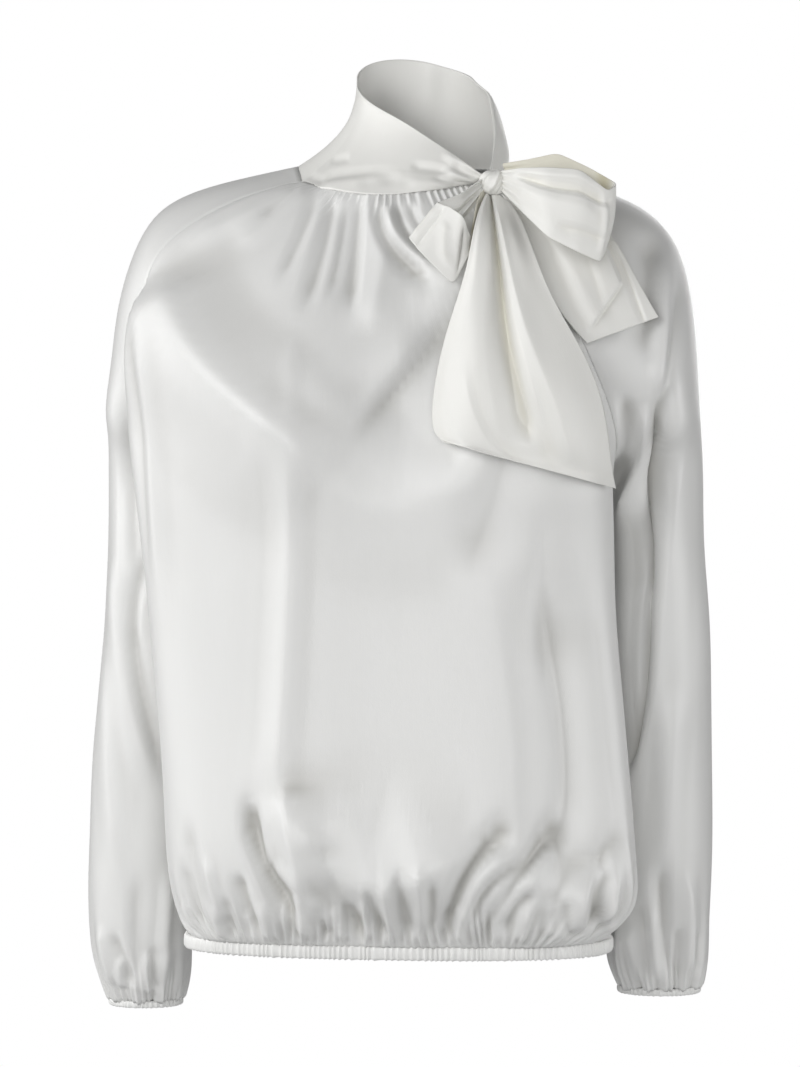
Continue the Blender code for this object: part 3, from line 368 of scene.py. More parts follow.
BODY_ACROSS = np.array((0.0, 0.17, 0.34, 0.5, 0.66, 0.83, 1.0))
BODY_SECTIONS = np.arange(LAST_ROW + 1)
SLEEVE_ACROSS = np.linspace(0, 1, 9)
SLEEVE_SECTIONS = np.arange(CUFF_ROW + 1)
FRONT = Form(BODY_ACROSS, BODY_SECTIONS, front_net(), -1.0)
BACK = Form(BODY_ACROSS, BODY_SECTIONS, back_net(), 1.0)
RIGHT, LEFT = -1, 1  # the wearer's sides, as the sign of x
SLEEVES = {
    side: Form(SLEEVE_ACROSS, SLEEVE_SECTIONS, sleeve_net(side, *tables), -1.0)
    for side, tables in (
        (RIGHT, (FRONT_RIGHT_YOKE, SLEEVE_RIGHT_CAP, SLEEVE_RIGHT_TUBE)),
        (LEFT, (FRONT_LEFT_YOKE, SLEEVE_LEFT_CAP, SLEEVE_LEFT_TUBE)),
    )
}
print("bust line stands out, m:", round(float(-FRONT.smooth(0.34, 6.0)[1]), 3))

# %% [markdown]
# ## Folds
#
# Satin falls in soft, uneven folds. They could come from a cloth simulation, but a fold that has to
# be in a certain place is better laid one by one: a path on the cloth, how far the fold reaches on
# each side of it, how round its line is and how high it stands. A valley has a height below nought.
# The large folds follow those of the solids and stand out more, and the fine ones only show here.

# %% The large folds
# The path of a fold, seen from the front, then how far it reaches on the right and on the left of
# its way, how round its line is, and its height:
# start_x, start_z, middle_x, middle_z, end_x, end_z, right, left, round, height
FRONT_FOLDS = metres(
    (-186, -77, -139, -159, -28, -244, 80, 61, 3, 21),
    (-70, -132, -68, -171, -66, -210, 10, 10, 3, 0.9),
    (-59, -180, -61, -344, -77, -564, 41, 74, 7, 4.6),
    (-66, -202, -70, -344, -82, -553, 21, 18, 3, 6),
    (-92, -196, 11, -272, 112, -214, 62, 82, 7, 7),
    (-62, -199, -20, -155, 49, -143, 49, 74, 7, 6.2),
    (59, -106, 56, -179, 59, -259, 54, 21, 8, -6.4),
    (76, -76, 39, -144, -22, -223, 12, 66, 2, -7),
    (106, -191, 96, -253, 67, -334, 31, 38, 4, -6.2),
    (129, -265, 130, -343, 136, -421, 11, 11, 2, -1.5),
    (126, -297, 153, -471, 136, -580, 43, 54, 4, -19.5),
    (-45, -14, -48, -61, -63, -119, 11, 9, 2, -4.8),
    (-23, -13, -23, -65, -25, -123, 16, 7, 2, -6.2),
    (2, -23, 0, -74, -11, -142, 25, 21, 5, 5.8),
    (-6, -24, 4, -62, 43, -98, 8, 10, 2, -6.8),
    (-65, -7, -112, -34, -178, -60, 49, 16, 2, 3.4),
    (-61, -9, -88, -39, -130, -62, 41, 15, 2, 3),
    (-192, -90, -190, -183, -181, -378, 15, 16, 3, 3.2),
    (-105, -498, -92, -550, -62, -603, 13, 16, 2, -15),
    (-73, -488, -67, -532, -54, -579, 15, 30, 2, 9),
    (-49, -521, -31, -571, -17, -623, 26, 28, 2, -8.5),
    (-76, -493, -12, -566, 90, -530, 36, 90, 2, 16.5),
    (112, -510, 70, -559, 51, -623, 11, 18, 2, -10.5),
    (151, -513, 116, -558, 76, -621, 14, 20, 2, -10.8),
    (174, -534, 143, -574, 123, -613, 20, 16, 3, -6.8),
    (196, -518, 171, -568, 168, -620, 15, 13, 2, -6.6),
)
BACK_FOLDS = metres(
    (-90, -250, -80, -400, -100, -550, 23.9, 35.9, 13, 5),
    (95, -240, 88, -390, 70, -560, 35.9, 23.9, 13, 5),
    (0, -300, 10, -430, 0, -560, 32.2, 32.2, 14, 4.5),
    (-50, -480, -40, -550, -55, -605, 12.9, 19.3, 7, -5.5),
    (45, -480, 36, -550, 50, -605, 19.3, 12.9, 7, -5.5),
    (-130, -500, -112, -560, -95, -608, 9.2, 13.8, 5, -6),
    (128, -490, 116, -550, 88, -606, 11.5, 11.5, 5, -6),
    (150, -250, 120, -300, 60, -320, 16.1, 29.9, 10, -3.5),
    (-150, -240, -118, -286, -70, -300, 16.1, 29.9, 10, -3.5),
)
SLEEVE_RIGHT_FOLDS = metres(
    (-220, -182, -221, -260, -217, -338, 10, 15, 4, -5.2),
    (-234, -198, -229, -280, -231, -355, 15, 13, 6, 3),
    (-207, -307, -219, -348, -221, -393, 8, 7, 2, -5.2),
    (-221, -367, -213, -421, -190, -511, 9, 11, 2, -5.6),
    (-239, -305, -228, -413, -204, -511, 15, 11, 4, 5),
    (-247, -367, -243, -479, -232, -587, 12, 11, 5, 2.8),
    (-193, -565, -197, -618, -202, -671, 7, 7, 2, 4.8),
    (-189, -565, -191, -610, -193, -644, 7, 6, 2, -3.6),
    (-218, -573, -220, -621, -222, -670, 10, 10, 3, -3.4),
    (-243, -621, -231, -647, -227, -670, 7, 7, 2, -4.4),
    (-211, -637, -213, -660, -212, -677, 7, 7, 2, 4),
    (-252, -616, -248, -645, -240, -670, 7, 7, 2, 3.2),
    (-234, -642, -235, -658, -234, -672, 5, 5, 2, 3.4),
    (-203, -631, -207, -654, -207, -676, 6, 6, 2, -3.6),
)
SLEEVE_LEFT_FOLDS = metres(
    (232, -73, 228, -143, 218, -216, 11, 8, 2, -8.5),
    (229, -168, 210, -273, 199, -377, 49, 15, 2, -22),
    (203, -337, 195, -418, 176, -499, 41, 13, 2, -18),
    (216, -56, 219, -120, 216, -200, 11, 8, 2, 4.8),
    (225, -70, 227, -128, 221, -197, 8, 7, 2, 3.6),
    (208, -42, 210, -97, 206, -161, 21, 10, 4, -8),
    (207, -188, 199, -234, 173, -293, 11, 13, 2, 12),
    (193, -178, 182, -221, 166, -277, 16, 11, 2, -8),
    (199, -303, 192, -377, 188, -439, 8, 8, 2, 3),
    (226, -407, 220, -499, 213, -583, 13, 13, 4, 4.2),
    (214, -553, 216, -605, 220, -662, 10, 8, 2, -6.4),
    (233, -566, 237, -613, 236, -660, 10, 10, 2, 4.4),
    (245, -183, 249, -313, 249, -443, 8, 8, 3, 2.2),
    (196, -587, 199, -623, 201, -663, 8, 8, 2, -4.8),
    (186, -612, 191, -639, 197, -663, 7, 7, 2, 3.4),
    (206, -594, 208, -627, 210, -663, 7, 7, 2, 3.4),
    (226, -609, 228, -633, 228, -662, 6, 6, 2, -3.4),
    (243, -613, 244, -633, 242, -657, 6, 6, 2, -3),
)
for word, table in (
    ("front", FRONT_FOLDS), ("back", BACK_FOLDS),
    ("right sleeve", SLEEVE_RIGHT_FOLDS), ("left sleeve", SLEEVE_LEFT_FOLDS),
):
    print(word, "has", len(table), "large folds")

# %% The fine creases, in the same columns
FRONT_CREASES = metres(
    (0, -26, 10, -56, 47, -87, 7, 7, 2, 3.7),
    (8, -24, 19, -54, 48, -77, 7, 7, 2, -5.1),
    (17, -24, 27, -47, 50, -63, 6, 6, 2, -3.7),
    (-34, -21, -36, -67, -43, -107, 7, 7, 2, -3.3),
    (-57, -14, -68, -53, -83, -91, 8, 7, 2, -2.9),
    (-72, -10, -89, -26, -104, -40, 8, 7, 2, -2.5),
    (-202, -106, -198, -199, -192, -354, 8, 7, 2, -2),
    (-88, -551, -62, -570, -35, -610, 11, 10, 2, 5.6),
    (-89, -502, -91, -534, -88, -561, 8, 10, 2, 4.1),
    (-24, -580, -20, -596, -17, -615, 6, 6, 2, -3.4),
    (19, -550, 22, -583, 25, -614, 7, 8, 2, -5.6),
    (35, -549, 36, -575, 33, -609, 8, 8, 2, 4.7),
    (-6, -564, -3, -589, 5, -614, 7, 7, 2, -4.1),
    (7, -561, 10, -584, 13, -613, 7, 7, 2, 3),
    (45, -560, 43, -583, 40, -611, 7, 7, 2, -3.4),
    (106, -536, 78, -566, 62, -610, 10, 10, 2, 6.2),
    (119, -545, 86, -572, 72, -604, 7, 7, 2, -5.8),
    (147, -534, 117, -567, 87, -607, 10, 10, 2, 5.4),
    (127, -572, 108, -588, 98, -613, 10, 9, 2, -5.8),
    (188, -555, 174, -579, 171, -610, 5, 5, 2, -3.2),
    (179, -547, 161, -581, 158, -612, 8, 8, 2, 4.3),
    (-141, -547, -133, -580, -124, -602, 7, 7, 2, 3.4),
    (-112, -559, -108, -583, -98, -616, 11, 8, 2, -5.8),
    (-157, -523, -152, -558, -143, -595, 10, 10, 3, -2.8),
    (-163, -555, -157, -582, -145, -611, 7, 7, 2, -3.2),
    (-65, -573, -63, -590, -60, -612, 7, 7, 2, 4.5),
    (-71, -583, -70, -601, -67, -616, 5, 5, 2, -3.5),
    (-126, -579, -123, -598, -120, -616, 6, 6, 2, -3),
    (-94, -581, -89, -599, -84, -616, 7, 7, 2, 3.2),
    (-49, -582, -46, -600, -43, -615, 6, 6, 2, -3.2),
    (-36, -584, -33, -600, -31, -615, 6, 6, 2, 3.2),
    (-13, -577, -11, -594, -9, -615, 6, 6, 2, 3),
    (138, -579, 133, -595, 131, -612, 7, 7, 2, 3.5),
    (117, -587, 112, -602, 109, -614, 5, 5, 2, 3),
    (149, -579, 147, -597, 147, -614, 5, 5, 2, -3),
    (183, -579, 178, -594, 176, -608, 5, 5, 2, 3),
    (-163, -586, -160, -598, -155, -611, 5, 5, 2, 2.1),
    (-136, -586, -133, -602, -130, -617, 5, 5, 2, 2.4),
    (-109, -593, -107, -605, -104, -618, 4, 4, 2, 2.2),
    (57, -583, 54, -599, 53, -615, 5, 5, 2, -2.6),
    (65, -583, 62, -599, 60, -615, 5, 5, 2, 2.6),
)
BACK_CREASES = metres(
    (-50, 6, -62, -60, -70, -130, 9.2, 9.2, 4, 2),
    (46, 6, 58, -66, 72, -140, 9.2, 9.2, 4, 2.2),
    (-12, 4, -16, -50, -14, -110, 8, 8, 3.5, -1.8),
    (20, 4, 22, -56, 30, -100, 8, 8, 3.5, -1.6),
    (-68, 0, -104, -28, -140, -60, 14.9, 8, 5, 2.6),
    (66, 0, 102, -30, 138, -64, 8, 14.9, 5, 2.6),
    (-20, -560, -16, -585, -20, -612, 6.9, 6.9, 3, -3.4),
    (14, -556, 12, -585, 18, -612, 6.9, 6.9, 3, 3.4),
    (68, -550, 70, -580, 66, -612, 6.9, 6.9, 3, -3.4),
    (-74, -556, -70, -580, -76, -612, 6.9, 6.9, 3, 3.2),
)
print("fine creases:", len(FRONT_CREASES), "in front and", len(BACK_CREASES), "behind")

# %% How far the folds lift the cloth
FACING_GAIN = 1.6  # folds stand in full where the cloth faces them and fade round the sides
FOLD_ENDS = 0.24  # of a fold's length, over which it rises at each end


def tent(gap):
    """A crisp fold: two flat sides that meet in a rounded ridge, from 1 on it to 0 at its width."""
    return np.clip(1.08 - np.sqrt(gap**2 + 0.0064), 0, 1) ** 1.35


def beside_path(path, seen):
    """For each place: its distance from a path of short steps, how far along it is, and its side."""
    nearest = np.full(seen.shape[:-1], np.inf)
    along, side = np.zeros_like(nearest), np.ones_like(nearest)
    for k, (start, step) in enumerate(zip(path[:-1], np.diff(path, axis=0))):
        part = np.clip((seen - start) @ step / (step @ step), 0, 1)
        off = seen - start - part[..., None] * step
        gap = np.linalg.norm(off, axis=-1)
        closer = gap < nearest
        nearest = np.where(closer, gap, nearest)
        along = np.where(closer, (k + part) / (len(path) - 1), along)
        side = np.where(closer, step[0] * off[..., 1] - step[1] * off[..., 0], side)
    return nearest, along, side


def fold_side(gap, reach, round_by):
    """A fold on one side of its line: steepest beside the rounded line, easing out to its reach."""
    eased = np.sqrt(gap**2 + round_by**2) - round_by
    return np.clip(1 - eased / reach, 0, 1) ** 1.6


def fold_heights(folds, points):
    """How far the folds lift each point, by its distance from their paths seen from the front."""
    seen = points[..., [0, 2]]
    total = np.zeros(seen.shape[:-1])
    for start_x, start_z, middle_x, middle_z, end_x, end_z, right, left, round_by, height in folds:
        named = ((start_x, start_z), (middle_x, middle_z), (end_x, end_z))
        gap, along, side = beside_path(spline((0.0, 0.5, 1.0), named, np.linspace(0, 1, 15)), seen)
        fade = soft_step(np.minimum(along, 1 - along) / FOLD_ENDS)
        total += height * fade * fold_side(gap, np.where(side > 0, left, right), round_by)
    return total


def laid(form, folds, u, v):
    """A form's places, the ways out of the cloth there, and how far the folds lift it."""
    points, out = form.smooth(u, v), form.normal(u, v)
    toward = np.clip(out[..., 1] * form.folds_face * FACING_GAIN, 0, 1)
    return points, out, fold_heights(folds, points) * toward


def hollows(lift, rows, columns, deepest):
    """How far each place lies below the cloth around it, from 0 to 1 at the deepest."""

    def averaged(line, weights):
        wide = np.pad(line, len(weights) // 2, mode="edge")
        return np.convolve(wide, weights / weights.sum(), "valid")

    around = lift
    for axis, count in ((0, rows), (1, columns)):
        around = np.apply_along_axis(averaged, axis, around, np.hanning(2 * count + 3)[1:-1])
    return np.clip((around - lift) / deepest, 0, 1)


print("a fold falls away as", np.round(fold_side(np.linspace(0, 1, 5), 1.0, 0.02), 2))

# %% [markdown]
# ## Making a sheet
#
# A piece of cloth is a flat grid before it is sewn, so each piece starts as a grid made by one
# operator, whose points are then moved to where the worn cloth is. A UV map keeps each point's
# place on the flat cloth in metres, so that the weave follows the cloth round the body. A Solidify
# modifier gives the cloth its thickness, inwards.

# %% A grid moved into place
def grid_normals(grid):
    along, down = np.gradient(grid, axis=1), np.gradient(grid, axis=0)
    return unit(np.cross(along, down))


def cloth(name, grid, outward, thickness, flat, wrapped=False, painted_shade=None):
    """One piece of cloth; grid and outward are rows by columns by xyz, and the weave runs over flat,
    a width and a length in metres."""
    rows, columns = grid.shape[0] - 1, grid.shape[1] - 1
    sheet = bmesh.new()
    bmesh.ops.create_grid(sheet, x_segments=columns, y_segments=rows, size=0.5)
    sheet.verts.index_update()
    flat_places = np.array([vert.co[:2] for vert in sheet.verts])
    column = np.rint((flat_places[:, 0] + 0.5) * columns).astype(int)
    row = np.rint((0.5 - flat_places[:, 1]) * rows).astype(int)
    weave = sheet.loops.layers.uv.new("weave")
    across, down = column / columns * flat[0], row / rows * flat[1]
    for face in sheet.faces:
        for loop in face.loops:
            loop[weave].uv = (across[loop.vert.index], down[loop.vert.index])
        face.smooth = True
    for vert, place in zip(sheet.verts, grid[row, column]):
        vert.co = place
    sheet.normal_update()
    away = outward[row, column]
    agree = sum(float(np.dot(vert.normal, away[vert.index])) for vert in list(sheet.verts)[::37])
    if agree < 0:
        bmesh.ops.reverse_faces(sheet, faces=sheet.faces)
    # painted shade: how far each place lies down in a fold is kept on the mesh, for the finish to darken
    # the colour there
    if painted_shade is not None:
        depth = sheet.verts.layers.float.new("painted_shade")
        for vert, value in zip(sheet.verts, painted_shade[row, column]):
            vert[depth] = value
    if wrapped:
        bmesh.ops.remove_doubles(sheet, verts=sheet.verts, dist=2e-5)
    mesh = bpy.data.meshes.new(name)
    sheet.to_mesh(mesh)
    sheet.free()
    piece = bpy.data.objects.new(name, mesh)
    bpy.context.collection.objects.link(piece)
    if thickness:
        wall = piece.modifiers.new("cloth", "SOLIDIFY")
        wall.thickness, wall.offset = thickness, -1.0
    return piece


def dressed(piece, node, finish, flat):
    """Gives the piece its finish in place of its node's solid, under the root, and prints the size that
    it was cut to.
    """
    piece.data.materials.clear()
    piece.data.materials.append(finish)
    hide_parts(node)
    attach(piece, "root")
    shown = piece.evaluated_get(bpy.context.evaluated_depsgraph_get()).to_mesh()
    one_side = sum(face.area for face in shown.polygons) / 2
    print(f"{piece.name}: {len(shown.polygons)} faces, {one_side:.4f} m2, cut {flat[0]} by {flat[1]} m")


# %% [markdown]
# ## The finish
#
# Satin is woven so that most of its face is long floating threads, which is why it is smooth, with
# broad soft highlights rather than sharp ones. One shader does for all pieces: a bright ivory
# base, a middling roughness that varies along the threads, a sheen for light that grazes the
# cloth, and the threads themselves as a very low bump. Cloth down in a fold sees more cloth than light,
# so an attribute of the mesh says how far each place lies below the cloth around it, and painted
# shade makes the colour darker and warmer there.

# %% Numbers that vary over the cloth
class Varying:
    """A socket's number; sums and products of it add Math nodes."""

    def __init__(self, tree, socket):
        self.tree, self.socket = tree, socket

    def joined(self, operation, first, second):
        node = self.tree.nodes.new("ShaderNodeMath")
        node.operation = operation
        for place, value in zip(node.inputs, (first, second)):
            if isinstance(value, Varying):
                self.tree.links.new(value.socket, place)
            else:
                place.default_value = float(value)
        return Varying(self.tree, node.outputs[0])

    def __add__(self, other):
        return self.joined("ADD", self, other)

    def __radd__(self, other):
        return self.joined("ADD", other, self)

    def __mul__(self, other):
        return self.joined("MULTIPLY", self, other)

    def __rmul__(self, other):
        return self.joined("MULTIPLY", other, self)


class Finish:
    """A material and the one way in which its nodes are made."""

    def __init__(self, name):
        self.material = bpy.data.materials.new(name)
        self.material.use_nodes = True
        self.tree = self.material.node_tree
        self.shader = self.tree.nodes["Principled BSDF"]

    def node(self, kind, settings=None, output=0, **sockets):
        made = self.tree.nodes.new(kind)
        for setting, value in (settings or {}).items():
            setattr(made, setting, value)
        for socket, value in sockets.items():
            self.feed(made.inputs[socket.replace("_", " ")], value)
        return Varying(self.tree, made.outputs[output])

    def feed(self, place, value):
        if isinstance(value, Varying):
            self.tree.links.new(value.socket, place)
        else:
            place.default_value = value

    def mixed(self, first, second, part):
        """The first colour, going over to the second as part goes from 0 to 1."""
        made = self.node("ShaderNodeMix", {"data_type": "RGBA"}, output=2, Factor=part)
        for place, colour in zip(made.socket.node.inputs[6:8], (first, second)):
            self.feed(place, colour)
        return made

    def set(self, **sockets):
        for socket, value in sockets.items():
            self.feed(self.shader.inputs[socket.replace("_", " ")], value)


# %% Satin
# how often each pattern comes round in a metre of cloth, across it and along it
THREADS, SLUBS, CRINKLES = (1100.0, 60.0, 1.0), (60.0, 9.0, 1.0), (330.0, 60.0, 1.0)
TWILL_LINES = 420.0  # the slanting lines of the weave, in a metre


def satin(name, colour, shade, painted_fold_shade, roughness=0.43, crinkle=0.0):
    """Ivory satin: colour, shade where threads lie a little deeper, and painted shade down in folds."""
    finish = Finish(name)
    flat = finish.node("ShaderNodeUVMap", {"uv_map": "weave"})
    threads_at = finish.node("ShaderNodeMapping", Vector=flat, Scale=THREADS)
    threads = finish.node("ShaderNodeTexNoise", Vector=threads_at, Scale=1.0, Detail=3.0, Roughness=0.6)
    slubs_at = finish.node("ShaderNodeMapping", Vector=flat, Scale=SLUBS)
    slubs = finish.node("ShaderNodeTexNoise", Vector=slubs_at, Scale=1.0, Detail=2.0)
    weave = finish.node(
        "ShaderNodeTexWave", {"wave_type": "BANDS", "bands_direction": "DIAGONAL"},
        output=1, Vector=flat, Scale=TWILL_LINES, Distortion=0.4, Detail=1.0,
    )
    depth = 0.6 * threads + 0.4 * slubs
    thread_colour = finish.mixed((*colour, 1.0), (*shade, 1.0), depth * 0.9)
    # painted shade: the mesh's attribute for cloth down in folds mixes the colour over to the darker,
    # warmer fold colour
    painted_shade = finish.node("ShaderNodeAttribute", {"attribute_name": "painted_shade"}, output=2)
    mixed = finish.mixed(thread_colour, (*painted_fold_shade, 1.0), painted_shade)
    relief = 0.5 * threads + 0.3 * weave + 1.2 * slubs
    if crinkle:
        crinkle_at = finish.node("ShaderNodeMapping", Vector=flat, Scale=CRINKLES)
        relief = relief + crinkle * finish.node("ShaderNodeTexNoise", Vector=crinkle_at, Scale=1.0)
    bump = finish.node("ShaderNodeBump", Height=relief, Strength=0.25, Distance=0.00035)
    finish.set(
        Base_Color=mixed, Roughness=roughness - 0.05 + 0.12 * threads, Normal=bump,
        Specular_IOR_Level=0.75, Sheen_Weight=0.15, Sheen_Roughness=0.45,
    )
    print(name, "has", len(finish.tree.nodes), "nodes")
    return finish.material


# the third colour of each satin is painted shade for cloth down in folds; on the doubled satin it is a
# warm yellow, for light bounced between folds
SATIN = satin("ivory_satin", (0.76, 0.76, 0.75), (0.715, 0.715, 0.70), (0.52, 0.515, 0.49))
SATIN_RUCHED = satin(
    "ivory_satin_ruched", (0.82, 0.82, 0.81), (0.75, 0.75, 0.73), (0.58, 0.57, 0.55), crinkle=2.0
)
SATIN_DOUBLE = satin(
    "ivory_satin_double", (0.82, 0.817, 0.79), (0.775, 0.77, 0.735), (0.52, 0.48, 0.32), roughness=0.50
)

# %% [markdown]
# ## The front
#
# The front hangs from the gathered neck seam, runs over the bust and blouses over the hem. The
# raglan seams at its sides are a soft dip where two turnings meet. Gathers are strongest at the
# seams that hold them and run out at uneven lengths, so each has its own reach.

# %% Where a panel's rows and columns are
def spaced(*stretches):
    """Places from stretches of (from, to, how many steps), without doubled ends."""
    parts = [np.linspace(low, high, steps + 1)[:-1] for low, high, steps in stretches]
    return np.append(np.concatenate(parts), stretches[-1][1])


SEAM_DEPTH, SEAM_REACH = 0.0007, 0.0045  # the dip where two turnings meet
SEAM_STIFFNESS = 0.012  # folds run out this near a seam


def seam_dip(u, width):
    """How far the cloth rises beside a panel's two side seams, and what part of a fold is left."""
    beside = np.minimum(u, 1 - u) * width
    return SEAM_DEPTH * (1 - bell(beside, SEAM_REACH)), 1 - bell(beside, SEAM_STIFFNESS)


def drawn_in(u, away, count, seed, reach, swing, turns, own_seed):
    """Gathers beside a seam that holds them, each running out at a reach of its own."""
    return gathers(u, count, seed) * bell(away, reach + swing * wandering(own_seed, turns)(u))


def neck_normal(points):
    """The direction shared by all that meets at the neck seam: out from the neck, and up."""
    out = np.column_stack([points[:, 0], points[:, 1] + 0.005, np.zeros(len(points))])
    return unit(unit(out) * 0.78 + np.array([0.0, 0.0, 0.62]))


def neck_across(points, normals, ring=False):
    """The way across the neck seam, up into the collar; ring says that the last place meets the first."""
    along = np.gradient(points, axis=0)
    if ring:
        along = np.roll(points, -1, axis=0) - np.roll(points, 1, axis=0)
    across = unit(np.cross(unit(along), normals))
    return across * np.sign(across[:, 2:])


def sewn_in(points, out):
    """Tucks a panel's first row into the neck seam and its last row behind its casing."""
    neck = neck_normal(points[0])
    points[0] += neck_across(points[0], neck) * NECK_UP - neck * NECK_IN
    points[-1] -= unit(out[-1] * (1, 1, 0)) * CASING_IN


print("places set closer and closer:", spaced((0.0, 0.5, 2), (0.5, 0.8, 3), (0.8, 0.9, 2)))

# %% The front panel
BODY_WIDTH = 0.48  # by which the distance from a side seam is reckoned
NECK_GATHERS, HEM_GATHERS, HEM_WAVES = 0.0015, 0.0021, 0.0026  # how high each kind stands
# how far the edges run into their seams, so that no gap shows
NECK_UP, NECK_IN, CASING_IN, HEM_DOWN, CUFF_DOWN = 0.0015, 0.0012, 0.0016, 0.0015, 0.0012
DEEPEST_BODY = 0.004  # a place this far below the cloth around it is fully shaded


def body_panel(name, form, folds, columns, rows, neck_count, hem_count, seed):
    u, v = np.meshgrid(np.linspace(0, 1, columns + 1), rows)
    points, out, lift = laid(form, folds, u, v)
    rise, fade = seam_dip(u, BODY_WIDTH)
    # the front's gathers are weak at the wearer's right and strong towards the knot
    drawn = 0.25 + 0.75 * soft_step((u - 0.22) / 0.14) if form is FRONT else 0.7
    drawn = drawn * (0.35 + 0.65 * soft_step(v / 0.10))
    lift += NECK_GATHERS * drawn * drawn_in(u, v, neck_count, seed, 0.42, 0.30, 13, seed + 5)
    above = points[..., 2] - HEM_TOP
    at_seam = 0.3 + 0.7 * soft_step(above / 0.005)
    lift += HEM_GATHERS * at_seam * drawn_in(u, above, hem_count, seed + 2, 0.017, 0.011, 31, seed + 6)
    waves = drawn_in(u, above, hem_count // 4, seed + 3, 0.050, 0.028, 9, seed + 7)
    lift += HEM_WAVES * soft_step(above / 0.012) * waves
    points = points + out * (lift * fade + rise)[..., None]
    sewn_in(points, out)
    points[-1, :, 2] = HEM_TOP - HEM_DOWN
    # painted shade: the valleys of the folds are given a darker colour
    painted_shade = hollows(lift * fade, 4, columns // 40, DEEPEST_BODY)
    return cloth(name, points, out, THIN_CLOTH, (0.56, 0.64), painted_shade=painted_shade)


BODY_ROWS = spaced((0.0, 0.5, 9), (0.5, 2.0, 12), (2.0, 13.4, 52), (13.4, 15.2, 14), (15.2, 16.0, 14))
front = body_panel("front_satin", FRONT, FRONT_FOLDS + FRONT_CREASES, 460, BODY_ROWS, 34, 76, 10)
dressed(front, "front", SATIN, (0.69, 0.68))

# %% [markdown]
# ## The back
#
# The back is cut like the front, without its shaping for the bust, and it is gathered into the same
# neck seam and hem.

# %% The back panel
back = body_panel("back_satin", BACK, BACK_FOLDS + BACK_CREASES, 260, BODY_ROWS, 24, 60, 40)
dressed(back, "back", SATIN, (0.55, 0.66))

# %% [markdown]
# ## The sleeves
#
# A raglan sleeve has no seam at the shoulder: it runs from the neck over it, between the front's
# seam and the back's. Below the underarm it closes into a tube, whose doubled edge is merged.

# %% Both sleeves
SLEEVE_WIDTH = 0.36  # by which the distance from a sleeve's seam is reckoned
CUFF_GATHERS, CUFF_WAVES = 0.0018, 0.0022  # how high each kind stands at the cuff
DEEPEST_SLEEVE = 0.008  # the same depth of full shade, for a sleeve


def sleeve_panel(name, side, folds, columns, rows, seed):
    u, v = np.meshgrid(np.linspace(0, 1, columns + 1), rows)
    points, out, lift = laid(SLEEVES[side], folds, u, v)
    rise, fade = seam_dip(u, SLEEVE_WIDTH)
    above = points[..., 2] - points[-1, 0, 2]
    lift += CUFF_GATHERS * drawn_in(u, above, 40, seed + 2, 0.022, 0.014, 17, seed + 6)
    lift += CUFF_WAVES * drawn_in(u, above, 11, seed + 3, 0.060, 0.030, 7, seed + 7)
    points = points + out * (lift * fade + rise)[..., None]
    sewn_in(points, out)
    points[-1, :, 2] -= CUFF_DOWN
    # painted shade: the valleys of the folds are given a darker colour
    painted_shade = hollows(lift * fade, 8, 14, DEEPEST_SLEEVE)
    return cloth(name, points, out, THIN_CLOTH, (0.40, 0.72), wrapped=True, painted_shade=painted_shade)


SLEEVE_ROWS = spaced((0.0, 0.5, 7), (0.5, 14.2, 90), (14.2, 16.2, 20), (16.2, 17.0, 14))
for side, word, folds in ((RIGHT, "right", SLEEVE_RIGHT_FOLDS), (LEFT, "left", SLEEVE_LEFT_FOLDS)):
    sleeve = sleeve_panel(f"sleeve_{word}_satin", side, folds, 230, SLEEVE_ROWS, 70 + 10 * side)
    dressed(sleeve, f"sleeve_{word}", SATIN, (0.33, 0.79))

# %% [markdown]
# ## The casings
#
# The hem and the cuffs end in a narrow folded tunnel with elastic inside, which draws the cloth
# into fine ribs. Each is a tube whose section goes once round the tunnel; the ribs are uneven, as
# the cloth is pushed along the elastic by hand.

# %% A ruched tunnel
SECTION_STEPS, RIB_STEPS = 16, 9
TUNNEL_SQUARENESS = 0.7  # 1 is round
LET_OUT = 1.6  # how much longer the weave runs than the ruched casing


def casing(name, middle, half_x, half_y, top, bottom, ribs, depth, seed, squareness=2.0):
    """A ruched tube; half_y is its half depth in front and behind."""
    count = ribs * RIB_STEPS
    turn = np.linspace(0, 2 * np.pi, count + 1)
    ring = np.column_stack([np.sin(turn), -np.cos(turn)])
    half_y_at = np.where(ring[:, 1] < 0, half_y[0], half_y[1])
    ring = bent(ring, 2 / squareness)
    line = np.column_stack([ring[:, 0] * half_x, ring[:, 1] * half_y_at, np.zeros(count + 1)])
    # even steps along the oval
    length = np.append(0, np.cumsum(np.linalg.norm(np.diff(line, axis=0), axis=1)))
    even = np.linspace(0, length[-1], count + 1)
    line = np.column_stack([np.interp(even, length, line[:, k]) for k in range(3)])
    around = np.roll(line[:-1], -1, axis=0) - np.roll(line[:-1], 1, axis=0)
    out = unit(np.column_stack([around[:, 1], -around[:, 0], np.zeros(count)]))
    out *= np.sign(np.sum(out * line[:-1], axis=1, keepdims=True))
    out = np.vstack([out, out[:1]])
    part = np.linspace(0, 1, count + 1)
    rib = gathers(part, ribs, seed)
    rib[-1] = rib[0]
    angle = np.linspace(0, 2 * np.pi, SECTION_STEPS + 1)
    side_out, up = bent(np.cos(angle), TUNNEL_SQUARENESS), bent(np.sin(angle), TUNNEL_SQUARENESS)
    reach = CASING_THICK / 2 * (side_out[:, None] - 1) + depth * rib * np.maximum(side_out, 0)[:, None]
    grid = line + out * reach[..., None] + np.array(middle)
    height = (top - bottom) / 2 * up[:, None] * (1 + 0.10 * rib)
    grid[..., 2] = (top + bottom) / 2 + height
    outward = out * np.cos(angle)[:, None, None] + np.array([0, 0, 1.0]) * np.sin(angle)[:, None, None]
    return cloth(name, grid, outward, 0, (length[-1] * LET_OUT, 0.024), wrapped=True)


